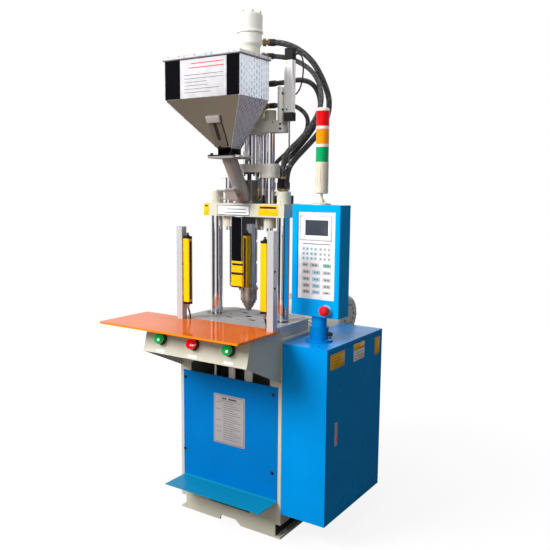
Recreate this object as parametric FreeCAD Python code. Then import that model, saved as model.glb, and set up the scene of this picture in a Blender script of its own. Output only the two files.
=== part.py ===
"""Vertical injection moulding machine with a swivelling control box, one STEP file per piece.

Origin: on the floor under the injection axis. +X is the operator's right, the front faces -Y, +Z is up.
All lengths are millimetres. The machine stands lowered: clamp down, screw forward, doors and gates shut.
"""
import FreeCAD, Part
import math
import os
from FreeCAD import Vector

os.makedirs("parts", exist_ok=True)

# ---- clearances -------------------------------------------------------------------------------
SLIDE_FIT = 0.05          # radial play of a running shaft
SEAT_GAP = 0.3            # play between curved or moving faces that nearly touch
SHEET = 2.0               # sheet metal of covers, console and cabinet
PLATE = 6.0               # plate of the welded base

# ---- base weldment ----------------------------------------------------------------------------
BASE_HALF = 262.0         # half width over the side plates
BASE_FRONT = -141.0       # Y of the front plate's face
BASE_BACK = 200.0         # Y of the rear plate's face
BASE_TOP = 830.0          # underside of the work table
BASE_TOP_PLATE = 12.0
CHANNEL_HEIGHT = 68.0     # C-channels that the machine stands on, open outwards
CHANNEL_DEPTH = 34.0
CHANNEL_WALL = 8.0
FOOT_DEPTH = 700.0        # length of the channels, front to back
WINDOW_HALF = 205.0       # service window in the front plate
WINDOW_BOTTOM = 260.0
WINDOW_TOP = 685.0
WINDOW_CHAMFER = 17.0
VENT_HALF = 108.0         # low opening behind the kick plate
VENT_BOTTOM = 72.0
VENT_TOP = 140.0
SKIRT_HALF = 228.0        # skirt between the channel webs
NOTCH_LEFT = -47.0        # fork notch in the skirt's lower edge
NOTCH_RIGHT = 50.0
NOTCH_HEIGHT = 22.0
NOTCH_SLOPE = 15.0
CROSS_DEPTH = 90.0        # floor strip under the axis

# ---- front panel with kick plate ---------------------------------------------------------------
PANEL_HALF = BASE_HALF - 17.0
PANEL_BOTTOM = 157.0
PANEL_TOP = 636.0
KICK_DEPTH = 130.0

# ---- work table --------------------------------------------------------------------------------
TABLE_HALF = 237.0
TABLE_FRONT = -168.0
TABLE_BACK = 150.0
TABLE_THICK = 45.0
TABLE_CHAMFER = 50.0
TABLE_TOP = BASE_TOP + TABLE_THICK
MOULD_BOLT = 60.0         # half spacing of the four mould slots
SLOT_LENGTH = 34.0
SLOT_WIDTH = 16.0
EJECTOR_HOLE = 14.0       # radius
TAPPED_HOLE = 5.0         # radius
TAPPED_SPOTS = ((0, -80), (0, 80), (-95, 0), (95, 0), (-125, -70), (125, -70), (-125, 110), (125, 110))

# ---- clamp: tie bars, yoke and cylinder -----------------------------------------------------------
BAR_SPACING = 345.0
BAR_R = 27.5
BAR_THREAD_R = 22.5
BUSH_R = 40.0
BUSH_FLANGE_R = 47.0
BUSH_FLANGE = 5.0
PLATEN_BOTTOM = 1304.0
PLATEN_THICK = 54.0
PLATEN_TOP = PLATEN_BOTTOM + PLATEN_THICK
PLATEN_EDGE = 33.5        # from a tie bar's axis to the platen's side
PLATEN_HALF = BAR_SPACING / 2 + PLATEN_EDGE
PLATEN_FRONT = -50.0
PLATEN_BACK = 130.0
PLATEN_CHAMFER = 45.0
BAR_NUT_R = 28.7
BAR_NUT_HEIGHT = 51.0
CLAMP_STROKE = 180.0
YOKE_BOTTOM = 190.0
YOKE_THICK = 50.0
YOKE_EDGE = 39.5          # from a tie bar's axis to the yoke's end
YOKE_HALF = BAR_SPACING / 2 + YOKE_EDGE
YOKE_DEPTH = 110.0
YOKE_NUT = 26.0
CLAMP_BORE_R = 60.0
CLAMP_OUTER_R = 74.0
CLAMP_HEAD = 30.0         # thickness of each cylinder head
CLAMP_ROD_R = 24.0
CLAMP_PISTON = 40.0
CLAMP_FLANGE_R = 55.0
CLAMP_FLANGE = 18.0

# ---- console, shelf and safety light curtain ---------------------------------------------------
SHELF_THICK = 8.0
SHELF_LEFT = -431.0
SHELF_RIGHT = 272.0
SHELF_FRONT = -450.0
SHELF_BACK_GAP = 3.0      # between shelf and table
SHELF_CORNER = 6.0
CONSOLE_INSET = 5.0       # console ends behind the base's side plates
CONSOLE_HALF = BASE_HALF - CONSOLE_INSET
CONSOLE_TOP_Y = -346.0
CONSOLE_LOW_Y = -376.0
CONSOLE_LOW_Z = 763.0
CONSOLE_BACK_Z = 655.0
BUTTON_X = (91.0 - CONSOLE_HALF, 0.0, CONSOLE_HALF - 85.0)
BUTTON_Z = 819.0
BEZEL_R = 23.0
BEZEL_DEPTH = 11.0
BUTTON_R = 20.0
BUTTON_HEIGHT = 20.0
BUTTON_STEM_R = 8.0
BUTTON_STEM = 34.0
BUTTON_TRAVEL = 6.0
POST_SIDE = 30.0          # square aluminium post
POST_WALL = 3.0
POST_X = (-203.0, 250.0)
POST_Y = -199.0
POST_TOP = 1262.0
CURTAIN_WIDTH = 30.0
CURTAIN_DEPTH = 24.0
CURTAIN_GAP = 4.0         # bracket between post and curtain
CURTAIN_LOW = 940.0
CURTAIN_HIGH = 1223.0
CURTAIN_CAP = 10.0
CABLE_R = 3.5

# ---- injection unit ------------------------------------------------------------------------------
GUIDE_SPACING = 210.0
GUIDE_R = 18.5
GUIDE_THREAD_R = 14.0
REAR_ROD_Y = 82.0
REAR_ROD_R = 25.0
REAR_THREAD_R = 16.0
GUIDE_NUT_R = 26.0
GUIDE_NUT = 46.0
GUIDE_TAIL = 15.0
CAP_NUT_R = 22.5
CAP_NUT = 44.0
TOP_BEAM_BOTTOM = 1645.0
TOP_BEAM_THICK = 46.0
TOP_BEAM_HALF = 160.0
TOP_BEAM_DEPTH = 35.0     # half depth
TOP_BEAM_TOP = TOP_BEAM_BOTTOM + TOP_BEAM_THICK
LUG_R = 34.0
MID_BEAM_BOTTOM = 1487.0
MID_BEAM_THICK = 33.0
MID_BEAM_DEPTH = 25.0     # half depth
MID_BOSS_R = 38.5
MID_BOSS_DROP = 24.0
SCREW_STROKE = 100.0
PISTON_ROD_R = 25.0
PISTON_R = 38.0
PISTON_THICK = 30.0
CYLINDER_HALF = 53.5
CYLINDER_LENGTH = 239.0
CYLINDER_TOP = TOP_BEAM_TOP + CYLINDER_LENGTH
CYLINDER_FLOOR = 14.0
ADAPTER_R = 42.0
ADAPTER_LENGTH = 60.0
MOTOR_BOTTOM = CYLINDER_TOP + ADAPTER_LENGTH
MOTOR_LOW_R = 48.5
MOTOR_RING_Z = MOTOR_BOTTOM + 54.0
MOTOR_RING_R = 53.5
MOTOR_TOP_R = 51.0
MOTOR_LENGTH = 134.0
MOTOR_TOP = MOTOR_BOTTOM + MOTOR_LENGTH
MOTOR_BOLT_R = 8.0
MOTOR_BOLT_CIRCLE = 40.0
MOTOR_BOLT = 7.0
BARREL_R = 30.0
BARREL_BORE_R = 14.0
BARREL_BOTTOM = 945.0
NOZZLE_TIP = 901.0
NOZZLE_R = 23.5
NOZZLE_TIP_R = 7.0
NOZZLE_BORE_R = 2.0
HEATER_R = 35.5
HEATER_Z = ((948.0, 62.0), (1022.0, 80.0), (1114.0, 80.0), (1206.0, 80.0))
COVER_NOSE = 25.6          # half width of the shield's flat front
COVER_HALF = 67.0          # half width behind its 45 degree wings
COVER_FRONT = -90.0
COVER_BACK = -42.0
COVER_BOTTOM = 1011.0
COVER_SHEET = 1.5
COVER_EAR = 18.0
FEED_BASE_HALF = 44.0
FEED_BASE = 10.0
FEED_HALF = 30.0
FEED_FRONT = -28.0
FEED_BACK = 24.0
FEED_TOP = 1455.0
COUPLING_R = 25.0
COUPLING = 15.0
SHAFT_R = 9.0

# ---- hopper and feed pipe --------------------------------------------------------------------------
NECK_Y = -138.0           # the neck stands over the pipe's upper end, at X = 0
PIPE_R = 30.0
PIPE_WALL = 3.0
PIPE_TOP = 1537.0
PIPE_FOOT_Y = -25.0
PIPE_FOOT_Z = 1362.0
GATE_HALF = 62.0
GATE_PLATE = 5.0
GATE_GAP = 4.0            # room for the slide between the two flanges
GATE_SLIDE = 3.4
GATE_RAIL = 12.0
GATE_TRAVEL = 60.0
GATE_BOLT = 46.0
NECK_HALF = 33.0
NECK_TOP = 1575.0
HOPPER_X = -40.0
HOPPER_Y = -170.0
HOPPER_HALF_X = 183.5
HOPPER_HALF_Y = 97.0
HOPPER_BOX_BOTTOM = 1764.0
HOPPER_TOP = 1926.0
HOPPER_WALL = 1.5
SIGHT_SLOT = (34.0, 92.0)   # up the front slope
SIGHT_HALF = 5.0
SIGHT_RAIL = (22.0, 112.0)
SIGHT_RAIL_HALF = 16.0
SIGHT_TAB = 14.0
SIGHT_TAB_HALF = 22.0
LID_OVER = 6.0
LID_SKIRT = 13.0
STUB_R = 17.0
STUB_LENGTH = 62.0
STUB_ALONG = 0.38         # where the stub leaves, as a share of the pipe from its foot
SHUTTER_WIDTH = 46.0
SHUTTER_LEFT = 70.0
SHUTTER_THICK = 3.0
SHUTTER_TRAVEL = 46.0

# ---- transducer on the top beam -----------------------------------------------------------------
BRACKET_THICK = 8.0
BRACKET_TOP = 1821.0
RAIL_X = TOP_BEAM_HALF + BRACKET_THICK
RAIL_WIDTH = 36.0
RAIL_DEPTH = 27.0
RAIL_Y = 0.0
RAIL_BOTTOM = 1690.0
RAIL_TOP = 1926.0
RAIL_CAP = 46.0
RAIL_LOW_CAP = 33.0
RAIL_ROD_R = 3.0
STUD_R = 4.0
STUD_END = 200.0

# ---- cabinet, post and pendant ----------------------------------------------------------------------
CABINET_GAP = 4.0          # between the base's side plate and the cabinet
CABINET_WIDTH = 200.0
CABINET_LEFT = BASE_HALF + CABINET_GAP
CABINET_RIGHT = CABINET_LEFT + CABINET_WIDTH
CABINET_FRONT = -146.0
CABINET_BACK = 350.0
CABINET_BOTTOM = 113.0
CABINET_TOP = 819.0
CABINET_RIM = 16.0
DOOR_GAP = 2.0
DOOR_DEPTH = 18.0
DOOR_BEND = 3.0
HINGE_INSET = 6.0
HINGE_R = 2.5
HINGE_PIN = 22.0
LATCH_Y = -64.0
LATCH_LOW = 419.0
LATCH_HIGH = 515.0
LATCH_HALF = 10.0
LATCH_TOP_GAP = 1.5       # lets the handle swing about its upper end
LATCH_BUTTON_Z = 447.0
LATCH_BUTTON_R = 5.0
LATCH_TRAVEL = 3.0
LATCH_PIN_R = 1.2
LATCH_PIN_X = -1.5          # pivot, from the cabinet's right face
LATCH_PIN_Z = 511.0
POST_BASE_X = CABINET_LEFT + 89.0
POST_BASE_Y = -14.0
FLANGE_R = 55.0
FLANGE_THICK = 8.0
SLEEVE_R = 38.0
SLEEVE_HEIGHT = 58.0
SLEEVE_TOP = CABINET_TOP + SLEEVE_HEIGHT
TUBE_R = 30.0
TUBE_WALL = 4.0
PENDANT_WIDTH = 215.0
PENDANT_LEFT = POST_BASE_X - 106.0
PENDANT_RIGHT = PENDANT_LEFT + PENDANT_WIDTH
PENDANT_FRONT = -59.0
PENDANT_BACK = 27.0
PENDANT_GAP = 46.0         # bare tube between sleeve and box
PENDANT_HEIGHT = 436.0
PENDANT_BOTTOM = SLEEVE_TOP + PENDANT_GAP
PENDANT_TOP = PENDANT_BOTTOM + PENDANT_HEIGHT
PENDANT_EDGE = 5.0
KEYPAD_LEFT = PENDANT_LEFT + 26.0
KEYPAD_RIGHT = PENDANT_RIGHT - 22.0
KEYPAD_BOTTOM = PENDANT_BOTTOM + 68.0
KEYPAD_TOP = PENDANT_TOP - 25.0
KEYPAD_RECESS = 8.0
KEYPAD_THICK = 3.0
SCREEN = (KEYPAD_LEFT + 33.0, KEYPAD_RIGHT - 32.0, KEYPAD_TOP - 93.0, KEYPAD_TOP - 33.0)
SCREEN_FRAME = 14.0
ESTOP_X = PENDANT_RIGHT - 55.0
ESTOP_Z = PENDANT_BOTTOM + 29.0
ESTOP_R = 20.0
ESTOP_HEIGHT = 24.0
ESTOP_TRAVEL = 5.0
KNOB_Z = CABINET_TOP + 31.0
KNOB_R = 9.0
KNOB_LENGTH = 16.0

ELECTRIC_PLATE = 12.0
ELECTRIC_EDGE = 40.0
CONTROLLER = (180.0, 140.0, 78.0)       # width, height, depth
CONTROLLER_DROP = 119.0
CONTACTOR = (46.0, 80.0, 68.0)          # width, height, depth
CONTACTOR_PITCH = 62.0
CONTACTOR_COUNT = 4
DEVICE_GAP = 80.0
TERMINAL_GAP = 110.0
TERMINALS = (40.0, 38.0)                # height, depth

# ---- signal tower -----------------------------------------------------------------------------------
TOWER_BASE_R = 36.5
TOWER_BASE = 5.0
TOWER_CONE = 18.0
TOWER_STEM_R = 5.0
TOWER_RISE = 43.0         # foot to the buzzer body
TOWER_BODY_Z = PENDANT_TOP + TOWER_RISE
TOWER_BODY_HEIGHT = 122.0
TOWER_BODY_R = 25.5
LENS_R = 25.0
LENS_HEIGHT = 57.0
LENS_RING = 11.0
LENS_Z = TOWER_BODY_Z + TOWER_BODY_HEIGHT
TOWER_CAP = 12.0

# ---- tank, pump and electrics --------------------------------------------------------------------------
TANK_FRONT_GAP = 10.0
TANK_BOTTOM = CHANNEL_HEIGHT
TANK_TOP = 740.0
TANK_WALL = 4.0
FILLER_INSET = (65.0, 80.0)   # from the tank's left and rear sides
FILLER_R = 26.0
FILLER_NECK = 22.0
FILLER_CAP = 14.0
TANK_HALF = BASE_HALF - 7.0
PUMP_MOTOR_Y = 440.0
PUMP_MOTOR_Z = 842.0
PUMP_MOTOR_R = 88.0
PUMP_MOTOR_LEFT = 20.0
PUMP_MOTOR_RIGHT = 190.0
COWL_RIGHT = 258.0
COWL_ROUND = 18.0
FIN_COUNT = 28
FIN_DEPTH = 8.0
TERMINAL_BOX_X = 45.0      # from the motor's left end
TERMINAL_BOX = (80.0, 70.0, 30.0)
FIN_THICK = 4.0
BELL_R = 62.0
BELL_LENGTH = 55.0
PUMP_R = 45.0
PUMP_LENGTH = 90.0

# ---- oil manifold on the platen and hoses ----------------------------------------------------------
MANIFOLD = (36.0, 148.0, 62.0, 118.0)
MANIFOLD_PORTS = (60.0, 94.0, 128.0)
MANIFOLD_Y = 90.0
MANIFOLD_HEIGHT = 34.0
FITTING_HEX = 14.0
FERRULE = 30.0
FITTING = 52.0            # from the port's face to the hose
NUT_FITTING = 81.0        # taller fitting on the right tie bar's nut
NUT_PORT_Y = -8.0
PORT_Y = 30.0
MOTOR_PORT_R = 50.0
MOTOR_PORT_ANGLE = 35.0
MOTOR_PORT_Z = MOTOR_BOTTOM + 23.0
UPPER_PORT_R = 46.0
UPPER_PORT_Z = CYLINDER_TOP + 32.0
RETURN_PORT_Z = CYLINDER_TOP - 85.0
LOWER_PORT_Z = TOP_BEAM_TOP + 66.0
ELBOW_REACH = 18.0
ELBOW_RISE = 57.0
BULKHEAD_X = 27.0
BULKHEAD_Y = 116.0
BULKHEAD = 50.0
CABLE_THIN_R = 3.0
HOSE_R = {"motor_hose": 12.0, "upper_hose": 10.0, "return_hose": 10.0, "lower_hose": 9.0, "coolant_hose": 4.0}
HOSE_LEAD = {
    "motor_hose": (55.0, 50.0),
    "upper_hose": (55.0, 46.0),
    "return_hose": (50.0, 48.0),
    "lower_hose": (44.0, 44.0),
    "coolant_hose": (20.0, 36.0),
}
HOSE_MIDDLE = {
    "motor_hose": [
        (208, 142, 1954), (252, 180, 1857), (274, 195, 1768), (247, 186, 1675), (186, 162, 1602), (146, 124, 1546),
    ],
    "upper_hose": [
        (166, 140, 1936), (226, 136, 1892), (268, 116, 1832), (290, 92, 1768), (284, 64, 1708), (258, 36, 1650),
        (228, 8, 1604), (192, -10, 1568),
    ],
    "return_hose": [
        (202, 66, 1860), (238, 118, 1846), (250, 158, 1780), (226, 172, 1698), (174, 168, 1630), (122, 152, 1572),
        (99, 120, 1530),
    ],
    "lower_hose": [
        (192, 60, 1754), (226, 96, 1714), (208, 116, 1654), (156, 118, 1604), (104, 108, 1562), (68, 92, 1526),
    ],
    "coolant_hose": [(46, 20, 1468), (40, 56, 1477), (31, 94, 1468)],
}
CABLE_MIDDLE = [(36, 4, -17), (37, 9, -52), (30, 16, -91), (18, 21, -127), (2, 21, -150)]

BAR_X = BAR_SPACING / 2
GUIDE_X = GUIDE_SPACING / 2
SHELF_BOTTOM = TABLE_TOP - SHELF_THICK
X_AXIS = Vector(1, 0, 0)
Y_AXIS = Vector(0, 1, 0)
Z_AXIS = Vector(0, 0, 1)


# ---- small helpers -----------------------------------------------------------------------------------
def box(x0, x1, y0, y1, z0, z1):
    """Block between two corners."""
    return Part.makeBox(x1 - x0, y1 - y0, z1 - z0, Vector(x0, y0, z0))


def rod(radius, length, x, y, z, axis=Z_AXIS):
    """Cylinder from a start point along an axis."""
    return Part.makeCylinder(radius, length, Vector(x, y, z), axis)


def tube(outer, inner, length, x, y, z, axis=Z_AXIS):
    """Hollow cylinder, cut right through."""
    reach = Vector(axis).normalize()
    start = Vector(x, y, z) - reach
    return rod(outer, length, x, y, z, axis).cut(Part.makeCylinder(inner, length + 2, start, axis))


def prism(points, direction):
    """Solid from a closed list of points, pushed along a vector."""
    wire = Part.makePolygon([Vector(*p) for p in points] + [Vector(*points[0])])
    return Part.Face(wire).extrude(direction)


def turned(profile, x, y, z=0.0):
    """Solid of revolution about a vertical line from (radius, height) points."""
    points = [Vector(r, 0, h) for r, h in profile]
    wire = Part.makePolygon(points + [points[0]])
    shape = Part.Face(wire).revolve(Vector(0, 0, 0), Z_AXIS, 360)
    shape.translate(Vector(x, y, z))
    return shape


def frustum(half0, half1, centre0, centre1, z0, z1):
    """Four-sided taper between two rectangles given by half sizes and centres."""
    wires = []
    for half, centre, z in ((half0, centre0, z0), (half1, centre1, z1)):
        corners = [(-1, -1), (1, -1), (1, 1), (-1, 1), (-1, -1)]
        points = [Vector(centre[0] + sx * half[0], centre[1] + sy * half[1], z) for sx, sy in corners]
        wires.append(Part.makePolygon(points))
    return Part.makeLoft(wires, True, True)


def soften(shape, radius, choose):
    """Round the edges that a test on each edge's middle and direction picks out."""
    edges = []
    for edge in shape.Edges:
        middle = edge.valueAt((edge.FirstParameter + edge.LastParameter) / 2)
        if choose(middle, edge):
            edges.append(edge)
    return shape.makeFillet(radius, edges)


def upright(edge):
    """True for a straight vertical edge."""
    ends = edge.Vertexes
    return len(ends) == 2 and abs(ends[0].X - ends[1].X) + abs(ends[0].Y - ends[1].Y) < 1e-6


def save(name, *shapes):
    """Write one node: a single solid or a group of separate solids."""
    solids = [solid for shape in shapes for solid in shape.removeSplitter().Solids]
    result = solids[0] if len(solids) == 1 else Part.makeCompound(solids)
    result.exportStep("parts/%s.step" % name)
    return result


# ---- base -----------------------------------------------------------------------------------------------
def base_channel(side):
    """C-channel along Y whose mouth faces outwards."""
    web_x = BASE_HALF - CHANNEL_DEPTH
    outline = [
        (web_x, 0),
        (BASE_HALF, 0),
        (BASE_HALF, CHANNEL_WALL),
        (web_x + CHANNEL_WALL, CHANNEL_WALL),
        (web_x + CHANNEL_WALL, CHANNEL_HEIGHT - CHANNEL_WALL),
        (BASE_HALF, CHANNEL_HEIGHT - CHANNEL_WALL),
        (BASE_HALF, CHANNEL_HEIGHT),
        (web_x, CHANNEL_HEIGHT),
    ]
    points = [(side * x, BASE_FRONT, z) for x, z in outline]
    return prism(points, Vector(0, FOOT_DEPTH, 0))


def base_front_plate():
    """Front plate with the service window, the low opening and the fork notch."""
    y = BASE_FRONT
    plate = box(-BASE_HALF, BASE_HALF, y, y + PLATE, CHANNEL_HEIGHT - CHANNEL_WALL, BASE_TOP)
    skirt = box(-SKIRT_HALF, SKIRT_HALF, y, y + PLATE, 0, CHANNEL_HEIGHT)
    plate = plate.fuse(skirt)
    c = WINDOW_CHAMFER
    window = [
        (-WINDOW_HALF, y - 1, WINDOW_BOTTOM),
        (WINDOW_HALF, y - 1, WINDOW_BOTTOM),
        (WINDOW_HALF, y - 1, WINDOW_TOP - c),
        (WINDOW_HALF - c, y - 1, WINDOW_TOP),
        (-WINDOW_HALF + c, y - 1, WINDOW_TOP),
        (-WINDOW_HALF, y - 1, WINDOW_TOP - c),
    ]
    notch = [
        (NOTCH_LEFT, y - 1, -1),
        (NOTCH_RIGHT + NOTCH_SLOPE, y - 1, -1),
        (NOTCH_RIGHT - NOTCH_SLOPE, y - 1, NOTCH_HEIGHT),
        (NOTCH_LEFT + 4, y - 1, NOTCH_HEIGHT),
    ]
    through = Vector(0, PLATE + 2, 0)
    plate = plate.cut(prism(window, through)).cut(prism(notch, through))
    return plate.cut(box(-VENT_HALF, VENT_HALF, y - 1, y + PLATE + 1, VENT_BOTTOM, VENT_TOP))


def make_base_frame():
    """Welded base: channels, four walls, top plate and floor strip."""
    walls = [base_front_plate()]
    rear = box(-BASE_HALF, BASE_HALF, BASE_BACK - PLATE, BASE_BACK, CHANNEL_HEIGHT - CHANNEL_WALL, BASE_TOP)
    walls.append(rear)
    low = CHANNEL_HEIGHT - CHANNEL_WALL
    for side in (-1, 1):
        x0, x1 = sorted((side * BASE_HALF, side * (BASE_HALF - PLATE)))
        walls.append(box(x0, x1, BASE_FRONT, BASE_BACK, low, BASE_TOP))
        walls.append(base_channel(side))
    top = box(-BASE_HALF, BASE_HALF, BASE_FRONT, BASE_BACK, BASE_TOP - BASE_TOP_PLATE, BASE_TOP)
    for side in (-1, 1):
        top = top.cut(rod(BUSH_R + 4, BASE_TOP_PLATE + 2, side * BAR_X, 0, BASE_TOP - BASE_TOP_PLATE - 1))
    top = top.cut(rod(CLAMP_FLANGE_R + 5, BASE_TOP_PLATE + 2, 0, 0, BASE_TOP - BASE_TOP_PLATE - 1))
    web = BASE_HALF - CHANNEL_DEPTH + CHANNEL_WALL
    strip = box(-web, web, -CROSS_DEPTH / 2, CROSS_DEPTH / 2, 0, CHANNEL_WALL)
    rear_strip_y = BASE_FRONT + FOOT_DEPTH - CROSS_DEPTH
    rear_strip = box(-web, web, rear_strip_y, rear_strip_y + CROSS_DEPTH, 0, CHANNEL_WALL)
    frame = top.multiFuse(walls + [strip, rear_strip])
    for side in (-1, 1):
        for y in (BASE_FRONT + 60, BASE_FRONT + FOOT_DEPTH - 60):
            hole = rod(7, CHANNEL_WALL + 2, side * (BASE_HALF - 13), y, -1)
            frame = frame.cut(hole)
    return frame


def make_front_panel():
    """Front cover and kick plate, one folded sheet."""
    y = BASE_FRONT - SHEET
    bend = 2 * SHEET
    cover = box(-PANEL_HALF, PANEL_HALF, y, BASE_FRONT, PANEL_BOTTOM, PANEL_TOP)
    kick = box(-PANEL_HALF, PANEL_HALF, BASE_FRONT - KICK_DEPTH, BASE_FRONT, PANEL_BOTTOM, PANEL_BOTTOM + SHEET)
    sheet = cover.fuse(kick).removeSplitter()
    inner = [e for e in sheet.Edges if abs(e.BoundBox.ZMin - PANEL_BOTTOM - SHEET) < 1e-6
             and abs(e.BoundBox.YMin - y) < 1e-6 and e.BoundBox.YLength < 1e-6 and e.BoundBox.ZLength < 1e-6]
    sheet = sheet.makeFillet(bend, inner)
    return sheet


def make_work_table():
    """Steel table plate with mould slots, ejector hole and bush bores."""
    c = TABLE_CHAMFER
    outline = [
        (-TABLE_HALF, TABLE_FRONT, BASE_TOP),
        (TABLE_HALF, TABLE_FRONT, BASE_TOP),
        (TABLE_HALF, TABLE_BACK - c, BASE_TOP),
        (TABLE_HALF - c, TABLE_BACK, BASE_TOP),
        (-TABLE_HALF + c, TABLE_BACK, BASE_TOP),
        (-TABLE_HALF, TABLE_BACK - c, BASE_TOP),
    ]
    table = prism(outline, Vector(0, 0, TABLE_THICK))
    tools = []
    deep = TABLE_THICK + 2
    for side in (-1, 1):
        tools.append(rod(BUSH_R, deep, side * BAR_X, 0, BASE_TOP - 1))
        tools.append(rod(BUSH_FLANGE_R, BUSH_FLANGE + 1, side * BAR_X, 0, TABLE_TOP - BUSH_FLANGE))
    for sx in (-1, 1):
        for sy in (-1, 1):
            x, y = sx * MOULD_BOLT, sy * MOULD_BOLT
            half = (SLOT_LENGTH - SLOT_WIDTH) / 2
            slot = box(x - half, x + half, y - SLOT_WIDTH / 2, y + SLOT_WIDTH / 2, BASE_TOP - 1, TABLE_TOP + 1)
            for end in (-half, half):
                slot = slot.fuse(rod(SLOT_WIDTH / 2, deep, x + end, y, BASE_TOP - 1))
            tools.append(slot)
    tools.append(rod(EJECTOR_HOLE, TABLE_THICK / 2 + 1, 0, 0, TABLE_TOP - TABLE_THICK / 2))
    for x, y in TAPPED_SPOTS:
        tools.append(rod(TAPPED_HOLE, 26, x, y, TABLE_TOP - 25))
    return table.cut(tools)


def make_bushings():
    """Flanged bronze bushes that guide the tie bars, with screw heads sunk in the flange."""
    bushes = []
    for side in (-1, 1):
        x = side * BAR_X
        inner = BAR_R + SLIDE_FIT
        bush = tube(BUSH_R, inner, TABLE_THICK, x, 0, BASE_TOP)
        flange = tube(BUSH_FLANGE_R, inner, BUSH_FLANGE, x, 0, TABLE_TOP - BUSH_FLANGE)
        bush = bush.fuse(flange)
        for k in range(6):
            angle = math.radians(60 * k + 30)
            reach = (BUSH_FLANGE_R + inner) / 2 + 1
            sx, sy = x + reach * math.cos(angle), reach * math.sin(angle)
            bush = bush.cut(rod(3.5, 4, sx, sy, TABLE_TOP - 3))
        bushes.append(bush)
    return bushes


# ---- clamp ---------------------------------------------------------------------------------------------
def make_tie_bars():
    """Two chromed bars with threaded ends through platen and yoke."""
    bars = []
    yoke_top = YOKE_BOTTOM + YOKE_THICK
    for side in (-1, 1):
        x = side * BAR_X
        bar = rod(BAR_R, PLATEN_BOTTOM - yoke_top, x, 0, yoke_top)
        upper = rod(BAR_THREAD_R, PLATEN_THICK + BAR_NUT_HEIGHT - 8, x, 0, PLATEN_BOTTOM)
        lower = rod(BAR_THREAD_R, YOKE_THICK + YOKE_NUT + 4, x, 0, YOKE_BOTTOM - YOKE_NUT - 4)
        bars.append(bar.fuse([upper, lower]))
    return bars


def make_bar_nuts():
    """Round cap nuts above the platen and plain nuts below the yoke."""
    nuts = []
    for side in (-1, 1):
        x = side * BAR_X
        r, h = BAR_NUT_R, BAR_NUT_HEIGHT
        cap = turned([(0, 0), (r, 0), (r, h - 2), (r - 2, h), (0, h)], x, 0, PLATEN_TOP)
        cap = cap.cut(rod(BAR_THREAD_R, h - 8, x, 0, PLATEN_TOP))
        cap = cap.cut(rod(2.5, 8, x, -r - 1, PLATEN_TOP + 9, Y_AXIS))
        nuts.append(cap)
        nuts.append(tube(BAR_NUT_R + 6, BAR_THREAD_R, YOKE_NUT, x, 0, YOKE_BOTTOM - YOKE_NUT))
    return nuts


def make_platen():
    """Upper platen that carries the whole injection unit."""
    c = PLATEN_CHAMFER
    outline = [
        (-PLATEN_HALF, PLATEN_FRONT, PLATEN_BOTTOM),
        (PLATEN_HALF, PLATEN_FRONT, PLATEN_BOTTOM),
        (PLATEN_HALF, PLATEN_BACK - c, PLATEN_BOTTOM),
        (PLATEN_HALF - c, PLATEN_BACK, PLATEN_BOTTOM),
        (-PLATEN_HALF + c, PLATEN_BACK, PLATEN_BOTTOM),
        (-PLATEN_HALF, PLATEN_BACK - c, PLATEN_BOTTOM),
    ]
    plate = prism(outline, Vector(0, 0, PLATEN_THICK))
    deep = PLATEN_THICK + 2
    tools = [rod(BARREL_R, deep, 0, 0, PLATEN_BOTTOM - 1)]
    for side in (-1, 1):
        tools.append(rod(BAR_THREAD_R, deep, side * BAR_X, 0, PLATEN_BOTTOM - 1))
        tools.append(rod(GUIDE_THREAD_R, deep, side * GUIDE_X, 0, PLATEN_BOTTOM - 1))
        for y in (PLATEN_FRONT + 14, 40):
            tools.append(rod(TAPPED_HOLE, 21, side * 62, y, PLATEN_BOTTOM - 1))
    tools.append(rod(REAR_THREAD_R, deep, 0, REAR_ROD_Y, PLATEN_BOTTOM - 1))
    return plate.cut(tools)


def make_yoke():
    """Lower yoke that ties the bars to the clamp cylinder."""
    half = YOKE_DEPTH / 2
    yoke = box(-YOKE_HALF, YOKE_HALF, -half, half, YOKE_BOTTOM, YOKE_BOTTOM + YOKE_THICK)
    yoke = yoke.makeChamfer(12, [e for e in yoke.Edges if upright(e)])
    for side in (-1, 1):
        yoke = yoke.cut(rod(BAR_THREAD_R, YOKE_THICK + 2, side * BAR_X, 0, YOKE_BOTTOM - 1))
    return yoke


def clamp_levels():
    """Heights of the clamp cylinder: foot, floor of the bore, roof of the bore, top."""
    foot = YOKE_BOTTOM + YOKE_THICK
    floor = foot + CLAMP_HEAD
    roof = floor + CLAMP_STROKE + CLAMP_PISTON + 20
    return foot, floor, roof, roof + CLAMP_HEAD


def make_clamp_cylinder():
    """Cylinder that rides on the yoke, with square heads."""
    foot, floor, roof, top = clamp_levels()
    body = rod(CLAMP_OUTER_R, top - foot, 0, 0, foot)
    half = CLAMP_OUTER_R - 2
    for z in (foot, roof):
        head = box(-half, half, -YOKE_DEPTH / 2, YOKE_DEPTH / 2, z, z + CLAMP_HEAD)
        body = body.fuse(head)
    body = body.cut(rod(CLAMP_BORE_R, roof - floor, 0, 0, floor))
    return body.cut(rod(CLAMP_ROD_R + SLIDE_FIT, CLAMP_HEAD + 2, 0, 0, roof - 1))


def make_clamp_rod():
    """Rod and piston hung under the table."""
    foot, floor, roof, top = clamp_levels()
    piston_top = roof - 5
    piston = rod(CLAMP_BORE_R - SLIDE_FIT, CLAMP_PISTON, 0, 0, piston_top - CLAMP_PISTON)
    stem = rod(CLAMP_ROD_R, BASE_TOP - piston_top, 0, 0, piston_top)
    flange = rod(CLAMP_FLANGE_R, CLAMP_FLANGE, 0, 0, BASE_TOP - CLAMP_FLANGE)
    return piston.fuse([stem, flange])


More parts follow.
